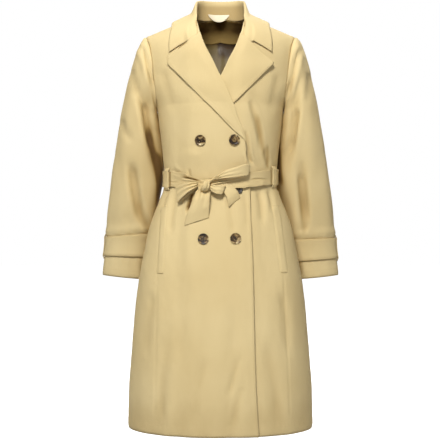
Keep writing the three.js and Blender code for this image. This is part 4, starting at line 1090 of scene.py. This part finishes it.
# painted shadow in the gap between collar and lapel at each notch
lapelShades = {-1: [(-79, -79.5), (-95, -88.5), (-108, -96.5)],
               1: [(88, -87), (106, -96.5), (123, -105.5)]}
lapelGrids = {}
for side, word in sideWords.items():
    along = downSteps(lapelSizes["rows"] + 1)
    across = acrossSteps(lapelSizes["columns"] + 1, 0) ** 1.15
    rollDrop = mix(lapelSizes["topDrop"], lapelSizes["endDrop"], along)
    rollX = side * (edgeAt(rollDrop) + 0.6)
    rollZ = heightOf(rollX, rollDrop)
    edgeX = side * readRows(lapelEdgeRows[side], "along", "x", along)
    edgeZ = readRows(lapelEdgeRows[side], "along", "z", along)
    x = mix(rollX, edgeX, across)
    z = mix(rollZ, edgeZ, across)
    # the top edge follows the collar's end to the notch, then leaves it
    line = [(52, float(rollZ[0, 0]))] + gorgeLine[side]
    gorge = np.interp(np.abs(x[:1]), [p[0] for p in line], [p[1] for p in line]) - z[:1]
    z = z + gorge * smooth(1 - along / 0.35)
    under = overlapLift(x, dropOf(x, z)) if side < 0 else 0
    lift = under + lapelLift(side, across, x, along)
    soft = 0.7 * np.sin(along * 16 + across * 5 + side) * smooth(across * 3) * smooth((1 - along) * 3)
    edge = 0.4 * bell(1 - across, 0.1) - 0.8 * bell(1 - across, 0.02)
    lift = lift + soft + edge
    grid = onBody(-1, x, z, lift, onCreases=False)
    radius = lapelSizes["rollRadius"]
    turns = np.linspace(-0.5, 0.35, lapelSizes["rollColumns"]) * math.pi
    rollLine = (-1, rollX[:, 0], rollZ[:, 0])
    baseLift = overlapLift(rollX, rollDrop)[:, 0] if side < 0 else 0 * rollX[:, 0]
    base = onBody(*rollLine, baseLift, onCreases=False)
    towards = unit(grid[:, 4] - grid[:, 0])
    normal = unit(onBody(*rollLine, 10.0, onCreases=False) - onBody(*rollLine, 0.0, onCreases=False))
    rolled = [base + normal * radius * (1 + math.sin(t)) - towards * radius * math.cos(t)
              for t in turns]
    grid = np.concatenate([np.stack(rolled, axis=1), grid[:, 3:]], axis=1)
    lapelGrids[side] = grid
    outward = np.broadcast_to(np.array([0, -1.0, 0]), grid.shape).copy()
    outward[:, :5] = 0
    # painted shadow along the lapel top by the notch
    notch = [stroke(lapelShades[side], 1.0, 1.7, start=0.25, end=0.15)]
    piece = clothObject("lapel_turned_" + word, grid, cotton, outward=outward,
                        fold=creaseHeight(grid[..., 0], grid[..., 2], notch))
    finishPiece(piece, "cotton_twill", "lapel_" + word)
    min(max(flatArea(grid), 0.0136), 0.045)

# the collar's ends are sewn to the lapel tops from the roll to the notch
collarCount = collarSizes["columns"]
for side in (-1, 1):
    end = 0 if side < 0 else collarCount
    top = lapelGrids[side][0]
    order = np.argsort(np.abs(top[:, 0]))
    seam = top[order]
    points = collarGrid[end]
    reach = np.abs(points[:, 0])
    corner = gorgeLine[side][0][0]
    target = np.stack([np.interp(reach, np.abs(seam[:, 0]), seam[:, k]) for k in range(3)], axis=-1)
    target[:, 0] = points[:, 0]
    outside = np.arange(len(points)) > len(points) * 0.3
    hold = outside * smooth((corner + 9 - reach) / 9)
    shift = (target - points) * hold[:, None]
    for step in range(14):
        collarGrid[end - side * step] += shift * (1 - smooth(step / 13))
piece = clothObject("collar_folded", collarGrid, cotton, outward=collarOutward,
                    thickness=collarSizes["thickness"], fold=collarPaintedShade)
finishPiece(piece, "cotton_twill", "collar")
print("lapels and collar made")

# Pocket welts
welts = [
    dict(name="right", topX=-142, topZ=-488, endX=-152, endZ=-660, width=21),
    dict(name="left", topX=141, topZ=-488, endX=160, endZ=-658, width=21),
]
weltGrids = {}
for welt in welts:
    t = downSteps(60)
    w = acrossSteps(13, -0.5, 0.5) * welt["width"]
    x = mix(welt["topX"], welt["endX"], t) + w
    z = mix(welt["topZ"], welt["endZ"], t) + 0 * w
    lift = 1.15 - 1.3 * smooth((np.abs(w) - welt["width"] / 2 + 5) / 5)
    lift = lift - 0.5 * bell(t, 0.02) - 0.5 * bell(1 - t, 0.02)
    under = overlapLift(x, dropOf(x, z)) if welt["name"] == "right" else 0
    grid = onBody(-1, x, z, lift + under)
    weltGrids[welt["name"]] = grid
    piece = clothObject("pocketWelt_" + welt["name"], grid, cotton, outward=np.array([0, -1, 0]),
                        thickness=1.6)
    finishPiece(piece, "cotton_twill", "pocket_welt_" + welt["name"])
print("welts made")

# Belt
beltLineRows = table("x z", [
    (-146, -420), (-100, -424), (-38, -435), (50, -427), (100, -420), (146, -414),
])
beltSizes = {"width": 40, "thickness": 2.4, "columns": 360, "rows": 26, "nearKnot": 0.3}
beltLine = curveOf(beltLineRows, "x", "z")


beltCreases = [
    stroke([(-97, -416), (-72, -422), (-46, -431)], -3.0, 2.6, lip=0.9, start=0.3, end=0.05),
    stroke([(-104, -440), (-76, -438), (-48, -438)], -2.4, 2.4, lip=0.8, start=0.4, end=0.05),
    stroke([(-84, -428), (-66, -431), (-46, -435)], -1.8, 2.0, lip=0.6, start=0.4, end=0.05),
    stroke([(-30, -438), (0, -434), (36, -430)], -2.6, 2.4, lip=0.8, start=0.05, end=0.5),
    stroke([(72, -424), (96, -422), (120, -424)], -1.6, 3.0, lip=0.5),
    stroke([(-128, -428), (-116, -430), (-104, -429)], -1.2, 2.4, lip=0.4),
]


def beltGrid():
    turn = (np.arange(beltSizes["columns"]) + 0.5)[None, :] / beltSizes["columns"] * 2 * math.pi
    share = downSteps(beltSizes["rows"] + 1)
    faceFront = np.sin(turn) < 0
    side = np.where(np.cos(turn) < 0, -1, 1)
    angle = np.arcsin(np.minimum(1, np.abs(np.sin(turn))))
    flatX = halfAt(371) * np.cos(turn)
    rear = mix(-420, -414, (flatX + 146) / 292)
    middle = np.where(faceFront, beltLine(flatX), rear)
    squeeze = 1 - beltSizes["nearKnot"] * bell(flatX + 38, 26) * faceFront
    ripple = 0.7 * np.sin(turn * 23 + 2) + 0.5 * np.sin(turn * 37)
    z = middle + beltSizes["width"] * (0.5 - share) * squeeze + ripple * (np.abs(share - 0.5) * 2) ** 2
    drop = dropOf(flatX + 0 * z, z)
    points = []
    for face in (-1, 1):
        here = bodyPoint(face, side, angle, drop)
        over = frontLift(here[..., 0], drop) if face < 0 else 0
        button = 0  # the band rides over the middle buttons
        if face < 0:
            button = 3.9 * smooth((here[..., 0] + 100) / 40) * smooth((95 - here[..., 0]) / 40)
        creased = bodyCreases(face, here[..., 0], here[..., 2]) * 0.5
        near = bell(here[..., 0] + 38, 45) if face < 0 else 0
        pleats = 1.1 * np.cos(share * math.pi * 5 + 0.6) * near
        edges = 0.5 * np.exp(-np.minimum(share, 1 - share) / 0.05)
        sewn = creaseHeight(here[..., 0], here[..., 2], beltCreases) if face < 0 else 0
        lift = beltSizes["thickness"] + 2.6 + over + button + np.maximum(creased, -0.6)
        lift = lift + pleats * 0.8 - edges + sewn
        points.append(here + bodyNormal(face, side, angle, drop) * lift[..., None])
    return np.where(faceFront[..., None], points[0], points[1])


# painted shade strokes: shadows beside the belt loops and under the pleats by the knot
beltShades = [
    stroke([(-128.4, -394), (-128.6, -420), (-128.4, -450)], 0.9, 1.8, start=0.05, end=0.05),
    stroke([(128.6, -390), (129, -415), (128.6, -446)], 0.7, 1.6, start=0.05, end=0.05),
    stroke([(-98, -414), (-72, -420), (-50, -428)], 0.5, 3.4),
    stroke([(-100, -440), (-76, -440), (-52, -440)], 0.25, 4),
]
belt = beltGrid()
# painted shade: the band is darkened a little overall and more in its crease troughs and shade strokes
beltPaintedShade = 0.1 - creaseHeight(belt[..., 0], belt[..., 2], beltCreases) * (belt[..., 1] < 0) / 7
beltPaintedShade = beltPaintedShade + creaseHeight(belt[..., 0], belt[..., 2], beltShades) * (belt[..., 1] < 0)
piece = clothObject("belt_round", belt, cotton, ring=True, outward=belt * np.array([1, 1.5, 0]),
                    thickness=beltSizes["thickness"], fold=beltPaintedShade)
finishPiece(piece, "cotton_twill", "belt_band")

loopGrids = {}
for name, x, topZ, endZ in (("right", -134.5, -392, -449), ("left", 134.5, -387, -443)):
    t = downSteps(34)
    ends = np.minimum(t, 1 - t) * 10
    w = acrossSteps(9, -5, 5)
    lift = mix(2, 6.4, smooth(ends / 1.5)) + 0.4 * (1 - (w / 5) ** 2)
    grid = onBody(-1, x + w, mix(topZ, endZ, t) + 0 * w, lift)
    loopGrids[name] = grid
    piece = clothObject("beltLoop_" + name, grid, cotton, outward=np.array([0, -1, 0]), thickness=1.6)
    finishPiece(piece, "cotton_twill", "belt_loop_" + name)
print("belt made")

# Bow: ribbons from stations, drawn together in pleats at the knot
knotX, knotZ = -38, -440
ribbonColumns = "x z off width lean cup"
ribbons = {
    "bow_loop_upper": dict(columns=24, rows=110, reach=46, pleats=2.6, deep=1.5,
                           stations=table(ribbonColumns, [
        (-21, -430.5, 17.4, 9, 76, 1), (-12, -422, 21, 15, 78, 2), (9, -411, 26, 27, 80, 3),
        (30, -405, 27, 32, 80, 2), (50, -399, 25, 34, 82, 1), (61, -397, 22, 32, 84, 0),
        (65, -398, 18, 31, 84, 0), (60, -402, 14.2, 32, 84, 0), (34, -415, 11.5, 32, 84, 0),
        (4, -427, 10.5, 19, 84, 0), (-22, -436, 10.2, 8, 84, 0),
    ])),
    "bow_loop_side": dict(columns=26, rows=100, reach=48, pleats=2.4, deep=1.7,
                           stations=table(ribbonColumns, [
        (-53, -441, 17, 12, 100, 1), (-64, -446, 20, 20, 100, 3), (-80, -453, 20, 31, 98, 3),
        (-95, -460, 17, 38, 97, 1), (-104, -464, 13.5, 40, 96, 0), (-98, -462, 9, 38, 96, 0),
        (-78, -453, 8.3, 29, 96, 0), (-53, -442, 10.2, 12, 96, 0),
    ])),
    "bow_loop_lower": dict(columns=18, rows=70, reach=26, pleats=1.8, deep=1.0,
                           stations=table(ribbonColumns, [
        (-25.4, -445, 17.5, 9, 66, 0), (-14, -452, 21, 18, 62, 2), (-2, -455, 21, 23, 66, 2),
        (7, -455, 18, 23, 70, 0), (9, -453, 13.5, 22, 72, 0), (2, -450, 11.9, 17, 72, 0),
        (-24, -444, 12, 8, 72, 0),
    ])),
    "belt_end_long": dict(columns=34, rows=80, reach=40, pleats=2.2, deep=1.5,
                           stations=table(ribbonColumns, [
        (-38, -441, 9, 24, 4, 0), (-40.5, -457, 10, 34, 5, 0), (-42, -468, 12, 36, 8, 3),
        (-43.5, -478, 14.5, 38, 12, 3), (-51, -500, 11.5, 50, 15, 2), (-57, -519, 5.4, 60, 18, 1),
        (-58, -530, 2.4, 62, 19, 0),
    ])),
    "belt_end_short": dict(columns=24, rows=60, reach=36, pleats=1.8, deep=0.8,
                           stations=table(ribbonColumns, [
        (-21, -441, 10, 8, 66, 0), (0, -444, 10, 15, 62, 0), (16, -450, 10.4, 24, 52, 0),
        (28, -466, 9, 32, 44, 1), (34, -482, 2.2, 36, 40, 0),
    ])),
}
ribbonFlat = {"bow_loop_upper": (0.04, 0.21), "bow_loop_side": (0.045, 0.14),
              "bow_loop_lower": (0.03, 0.09), "belt_end_long": (0.062, 0.1),
              "belt_end_short": (0.04, 0.09)}
ribbonGrids = {}
for name, ribbon in ribbons.items():
    keys = ribbonColumns.split()
    table = np.array([[station[k] for k in keys] for station in ribbon["stations"]], float)
    fine = splineRows(table, ribbon["rows"] + 1)
    cx, cz, off, width, lean, cup = [fine[:, k][:, None] for k in range(6)]
    share = acrossSteps(ribbon["columns"] + 1)
    across = share * width / 2
    leanAngle = np.radians(lean)
    x, z = cx + across * np.cos(leanAngle), cz + across * np.sin(leanAngle)
    away = np.hypot(cx - knotX, cz - knotZ)
    gather = bell(away - 12, ribbon["reach"])
    pleat = 1.7 * ribbon["deep"] * np.cos(share * math.pi * ribbon["pleats"] + 0.8) * gather
    edges = 0.35 * np.exp(-((1 - np.abs(share)) * width / 2 - 4) ** 2 / 6)
    lift = frontLift(x, dropOf(x, z)) + off + cup * (1 - share ** 2)
    lift = lift + pleat * smooth((off - 8) / 3) + edges
    grid = onBody(-1, x, z, lift, onCreases=False)
    ribbonGrids[name] = grid
    outward = np.zeros(grid.shape)
    outward[:len(grid) // 3] = (0, -1, 0)
    piece = clothObject(name + "_ribbon", grid, cotton, outward=outward)
    finishPiece(piece, "cotton_twill", name)
    flatWidth, flatLength = ribbonFlat[name]
    min(flatArea(grid) * 1.05, flatWidth * flatLength)

turn = np.linspace(-0.56, 0.56, 41)[:, None] * math.pi
across = acrossSteps(25)
full = 1 - 0.2 * across ** 2
x = knotX + 1.5 + across * 9 - 4.5 * np.sin(turn) + 1.2 * np.sin(turn * 2) * across
z = knotZ + 0.5 - np.sin(turn) * 13.4 * full
wrinkle = 1.1 * np.cos(across * 6 + turn * 1.3) + 0.7 * np.sin(across * 11 - turn * 2)
off = 17.6 + frontLift(x, 380 + 0 * x) + 13 * full * np.cos(turn) + wrinkle
flatKnot = onBody(-1, np.full(off.shape, knotX), np.full(off.shape, knotZ), off, onCreases=False)
knotGrid = np.stack([x + 0 * off, flatKnot[..., 1], z + 0 * off], axis=-1)
outward = np.stack(np.broadcast_arrays(0 * off, -(knotGrid[..., 1] + 118),
                                       knotGrid[..., 2] - knotZ), axis=-1)
piece = clothObject("belt_knot_wrap", knotGrid, cotton, outward=outward, thickness=1.6)
finishPiece(piece, "cotton_twill", "belt_knot")
print("bow made")

# Inside the neck
insideSizes = {"facingDepth": 60, "liningDrop": 300, "pleatWidth": 9, "pleatDepth": 2.2}


def insideGrid(x, drop, lift):
    x, drop, lift = np.broadcast_arrays(x, drop, lift)
    side = np.where(x < 0, -1, 1)
    angle = angleOf(np.abs(x), drop)
    return bodyPoint(1, side, angle, drop) + bodyNormal(1, side, angle, drop) * lift[..., None]


across = acrossSteps(71)
down = downSteps(25)
facingX = mix(58 * across, 92 * across, down)
facingDrop = mix(13.5 - 7.5 * np.abs(across) ** 2.4,
                 insideSizes["facingDepth"] - 34 * across ** 2, down)
facing = insideGrid(facingX, facingDrop, -4.1 + 0.3 * np.sin(across * 26) * bell(down, 0.3))
# painted shade: darker bands inside the neck and towards the sides
facingPaintedShade = 0.75 * bell(down - 0.16, 0.2) * bell(across, 0.5)
facingPaintedShade = facingPaintedShade + 0.55 * bell(down - 0.42, 0.16) + 0.6 * smooth((np.abs(across) - 0.35) / 0.4)
piece = clothObject("neck_facing_cloth", facing, shadedFacingCloth,
                    outward=facing * np.array([1, 1.5, 0]), thickness=1.2,
                    fold=facingPaintedShade + 0 * facing[..., 0])
finishPiece(piece, "cotton_twill", "neck_facing")

across = acrossSteps(101)
down = downSteps(61)
topDrop = insideSizes["facingDepth"] - 7 - 34 * across ** 2
liningX = across * mix(92, 132, smooth(down * 2))
liningDrop = mix(topDrop, insideSizes["liningDrop"] + 0 * across, down)
pleat = insideSizes["pleatDepth"] * bell(liningX, insideSizes["pleatWidth"]) * (1 - 0.5 * down)
pleat = pleat * smooth((down - 0.055) / 0.06)
ripple = 0.5 * np.sin(liningX * 0.16 + 3 * down) * smooth(down * 3)
lining = insideGrid(liningX, liningDrop, 0 * liningX)
follow = np.minimum(bodyCreases(1, lining[..., 0], lining[..., 2]), 0)
lining = insideGrid(liningX, liningDrop, follow - 3.3 - pleat + ripple * 0.6)
# painted shade: beside the pleat near the top and under the facing's edge
liningPaintedShade = 0.7 * smooth((liningX + 14 - 26 * down) / 8) * smooth((0.16 - down) / 0.05)
liningPaintedShade = liningPaintedShade + 0.35 * smooth((0.06 - down) / 0.03)
piece = clothObject("lining_half", lining, liningCloth,
                    outward=lining * np.array([1, 1.5, 0]), thickness=1.0,
                    fold=liningPaintedShade + 0 * lining[..., 0])
finishPiece(piece, "lining", "lining_back")

across = acrossSteps(31)
down = downSteps(13)
labelX = -4.5 + 28 * across + 0 * down
labelZ = mix(17, 15.5 - 17.5 * (1 - across ** 2) ** 0.8, down)
labelY = 52.9 - 0.0105 * labelX ** 2 - 1.2 * down * (1 - across ** 2) + 0.35 * np.sin(across * 9) * down
labelGrid = np.stack(np.broadcast_arrays(labelX, labelY, labelZ), axis=-1)
piece = clothObject("neck_label_bare", labelGrid, labelCloth,
                    outward=labelGrid * np.array([0, 1, 0]), thickness=1.0)
finishPiece(piece, "label", "neck_label")
print("neck made")

# Buttons

# the six solids keep their own meshes and get the horn
for row in ("top", "middle", "bottom"):
    for column in ("outer", "edge"):
        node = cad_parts["button_" + row + "_" + column]
        node.data.materials.clear()
        node.data.materials.append(horn)
print("buttons finished")

# Sewing: one node group lays uneven stitches along every line given to it

def stitchRows():
    group = bpy.data.node_groups.new("stitchRows", "GeometryNodeTree")
    group.interface.new_socket("Geometry", in_out="INPUT", socket_type="NodeSocketGeometry")
    sockets = (("Spacing", "NodeSocketFloat", 0.0034), ("Length", "NodeSocketFloat", 0.0024),
               ("Width", "NodeSocketFloat", 0.0006), ("Unevenness", "NodeSocketFloat", 0.15),
               ("Seed", "NodeSocketInt", 3), ("Material", "NodeSocketMaterial", None))
    for label, kind, value in sockets:
        socket = group.interface.new_socket(label, in_out="INPUT", socket_type=kind)
        if value is not None:
            socket.default_value = value
    group.interface.new_socket("Geometry", in_out="OUTPUT", socket_type="NodeSocketGeometry")
    given, out = group.nodes.new("NodeGroupInput"), group.nodes.new("NodeGroupOutput")
    toCurve = group.nodes.new("GeometryNodeMeshToCurve")
    points = group.nodes.new("GeometryNodeCurveToPoints")
    points.mode = "LENGTH"
    bead = group.nodes.new("GeometryNodeMeshUVSphere")
    bead.inputs["Segments"].default_value = 6
    bead.inputs["Rings"].default_value = 5
    bead.inputs["Radius"].default_value = 0.5
    turn = group.nodes.new("FunctionNodeAlignRotationToVector")
    turn.axis = "X"
    size = group.nodes.new("ShaderNodeCombineXYZ")
    chance = group.nodes.new("FunctionNodeRandomValue")
    wire(group, (given.outputs["Geometry"], toCurve.inputs[0]),
         (toCurve.outputs[0], points.inputs["Curve"]),
         (given.outputs["Spacing"], points.inputs["Length"]),
         (points.outputs["Tangent"], turn.inputs["Vector"]),
         (given.outputs["Seed"], chance.inputs["Seed"]))
    chance.inputs[2].default_value = -1
    chance.inputs[3].default_value = 1
    uneven = mathNode(group, "MULTIPLY", chance.outputs[1], given.outputs["Unevenness"])
    long = mathNode(group, "MULTIPLY", mathNode(group, "ADD", uneven, 1.0), given.outputs["Length"])
    place = group.nodes.new("GeometryNodeInstanceOnPoints")
    real = group.nodes.new("GeometryNodeRealizeInstances")
    paint = group.nodes.new("GeometryNodeSetMaterial")
    wire(group, (long, size.inputs[0]), (given.outputs["Width"], size.inputs[1]),
         (given.outputs["Width"], size.inputs[2]),
         (points.outputs["Points"], place.inputs["Points"]),
         (bead.outputs["Mesh"], place.inputs["Instance"]),
         (turn.outputs["Rotation"], place.inputs["Rotation"]),
         (size.outputs[0], place.inputs["Scale"]),
         (place.outputs[0], real.inputs[0]), (real.outputs[0], paint.inputs["Geometry"]),
         (given.outputs["Material"], paint.inputs["Material"]),
         (paint.outputs[0], out.inputs["Geometry"]))
    return group


stitchGroup = stitchRows()


def insetLine(grid, distance, fromEnd=False, alongRows=True):
    # the line that runs this far in from one edge of a grid
    g = grid if alongRows else np.swapaxes(grid, 0, 1)
    g = g[:, ::-1] if fromEnd else g
    run = runAlong(g, 1)
    k = np.clip((run <= distance).sum(axis=1) - 1, 0, g.shape[1] - 2)
    rows = np.arange(len(g))
    t = (distance - run[rows, k]) / np.maximum(run[rows, k + 1] - run[rows, k], 1e-6)
    return mix(g[rows, k], g[rows, k + 1], np.clip(t, 0, 1)[:, None])


def bothEdges(grid, distance, alongRows=True, closed=False):
    return [(insetLine(grid, distance, fromEnd, alongRows), closed) for fromEnd in (False, True)]


def sew(name, lines, seed, length=0.0024):
    # lines: list of (points in mm, closed)
    verts, edges = [], []
    for points, closed in lines:
        first = len(verts)
        verts += (points / 1000).tolist()
        edges += [(first + k, first + k + 1) for k in range(len(points) - 1)]
        if closed:
            edges.append((len(verts) - 1, first))
    piece, _ = meshObject(name, verts, edges, [])
    rows = piece.modifiers.new("stitches", "NODES")
    rows.node_group = stitchGroup
    wanted = {"Length": length, "Seed": seed, "Material": thread}
    for item in stitchGroup.interface.items_tree:
        if item.in_out == "INPUT" and item.name in wanted:
            rows[item.identifier] = wanted[item.name]
    bpy.context.view_layer.update()
    seen = piece.evaluated_get(bpy.context.evaluated_depsgraph_get())
    plain = bpy.data.meshes.new_from_object(seen)
    piece.modifiers.remove(rows)
    piece.data = plain
    plain.polygons.foreach_set("use_smooth", [True] * len(plain.polygons))
    finishPiece(piece, "cotton_twill")


frontRows = dropRows > 287
bodyLines = [(insetLine(panels["front_right"][frontRows], 6), False)]
for name in ("front_right", "front_left", "back_right", "back_left"):
    bodyLines.append((insetLine(panels[name], 21, True, False), False))
for word in ("right", "left"):
    weltGrid = weltGrids[word]
    bodyLines += [(insetLine(weltGrid, 2.5, True), False), (insetLine(weltGrid, 2.5), False)]
    for distance in (1.5, 3):
        bodyLines += bothEdges(weltGrid, distance, alongRows=False)
    loopGrid = loopGrids[word]
    bodyLines += bothEdges(loopGrid, 1.6)
sew("stitches_body", bodyLines, 3)
sleeveLines = []
for side in (-1, 1):
    sleeveLines.append((insetLine(sleeves[side][0], 20, True, False), True))
    for distance in (3, 7):
        sleeveLines += bothEdges(strapGrids[side], distance, alongRows=False, closed=True)
sew("stitches_sleeves", sleeveLines, 5)
collarLines = [(insetLine(collarGrid, 5, True)[3:-3], False)]
for side in (-1, 1):
    collarLines.append((insetLine(lapelGrids[side], 5, True)[3:], False))
sew("stitches_collar", collarLines, 7)
beltLines = bothEdges(belt, 3.5, alongRows=False, closed=True)
for name, ribbon in ribbonGrids.items():
    beltLines += bothEdges(ribbon, 3)
sew("stitches_belt", beltLines, 11)
print("sewing done")

# Floor and light
stageSizes = {"floorZ": -1.16, "half": 12, "white": 0.45, "glow": 1.0}
half, floorZ = stageSizes["half"], stageSizes["floorZ"]
corners = [(-half, -half, floorZ), (half, -half, floorZ), (half, half, floorZ), (-half, half, floorZ)]
floor, floorMesh = meshObject("studioFloor", corners, [], [(0, 1, 2, 3)])
paper = bpy.data.materials.new("palePaper")
paper.use_nodes = True
paperShader = paper.node_tree.nodes["Principled BSDF"]
white = stageSizes["white"]
paperShader.inputs["Base Color"].default_value = (white, white, white, 1)
paperShader.inputs["Roughness"].default_value = 0.95
paperShader.inputs["Emission Color"].default_value = (1, 1, 1, 1)
# only the camera sees the paper glow, so it stays white without lighting the coat
seen = paper.node_tree.nodes.new("ShaderNodeLightPath")
glow = mathNode(paper.node_tree, "MULTIPLY", seen.outputs["Is Camera Ray"], stageSizes["glow"])
wire(paper.node_tree, (glow, paperShader.inputs["Emission Strength"]))
floorMesh.materials.append(paper)


def areaLight(name, place, target, size, energy):
    data = bpy.data.lights.new(name, "AREA")
    data.shape = "RECTANGLE"
    data.size, data.size_y = size
    data.energy = energy
    light = bpy.data.objects.new(name, data)
    direction = np.array(target) - np.array(place)
    yaw = math.atan2(direction[0], direction[1])
    pitch = math.atan2(direction[2], math.hypot(direction[0], direction[1]))
    light.rotation_euler = (math.pi / 2 + pitch, 0, -yaw)
    light.location = place
    scene.collection.objects.link(light)


lightSizes = {"key": 96, "fill": 13, "top": 34, "back": 85, "ambient": 0.2}
areaLight("keyLight", (-0.45, -2.35, 1.35), (0, 0, -0.3), (0.75, 0.75), lightSizes["key"])
areaLight("fillLight", (2.6, -2.8, 0.3), (0, 0, -0.5), (2.0, 2.6), lightSizes["fill"])
areaLight("topLight", (0, 0.5, 2.2), (0, 0, -0.4), (2.0, 1.4), lightSizes["top"])
areaLight("backLight", (0.9, 3.2, 1.3), (0, 0, -0.5), (2.4, 2.4), lightSizes["back"])
world = bpy.data.worlds.new("studioWorld")
world.use_nodes = True
tree = world.node_tree
ambient = tree.nodes["Background"]
ambient.inputs["Color"].default_value = (1, 1, 1, 1)
ambient.inputs["Strength"].default_value = lightSizes["ambient"]
backdrop = tree.nodes.new("ShaderNodeBackground")
rays = tree.nodes.new("ShaderNodeLightPath")
choose = tree.nodes.new("ShaderNodeMixShader")
wire(tree, (rays.outputs["Is Camera Ray"], choose.inputs[0]), (ambient.outputs[0], choose.inputs[1]),
     (backdrop.outputs[0], choose.inputs[2]),
     (choose.outputs[0], tree.nodes["World Output"].inputs["Surface"]))
backdrop.inputs["Color"].default_value = (1, 1, 1, 1)
scene.world = world
scene.view_settings.view_transform = "Standard"
scene.view_settings.look = "None"

bpy.context.view_layer.update()
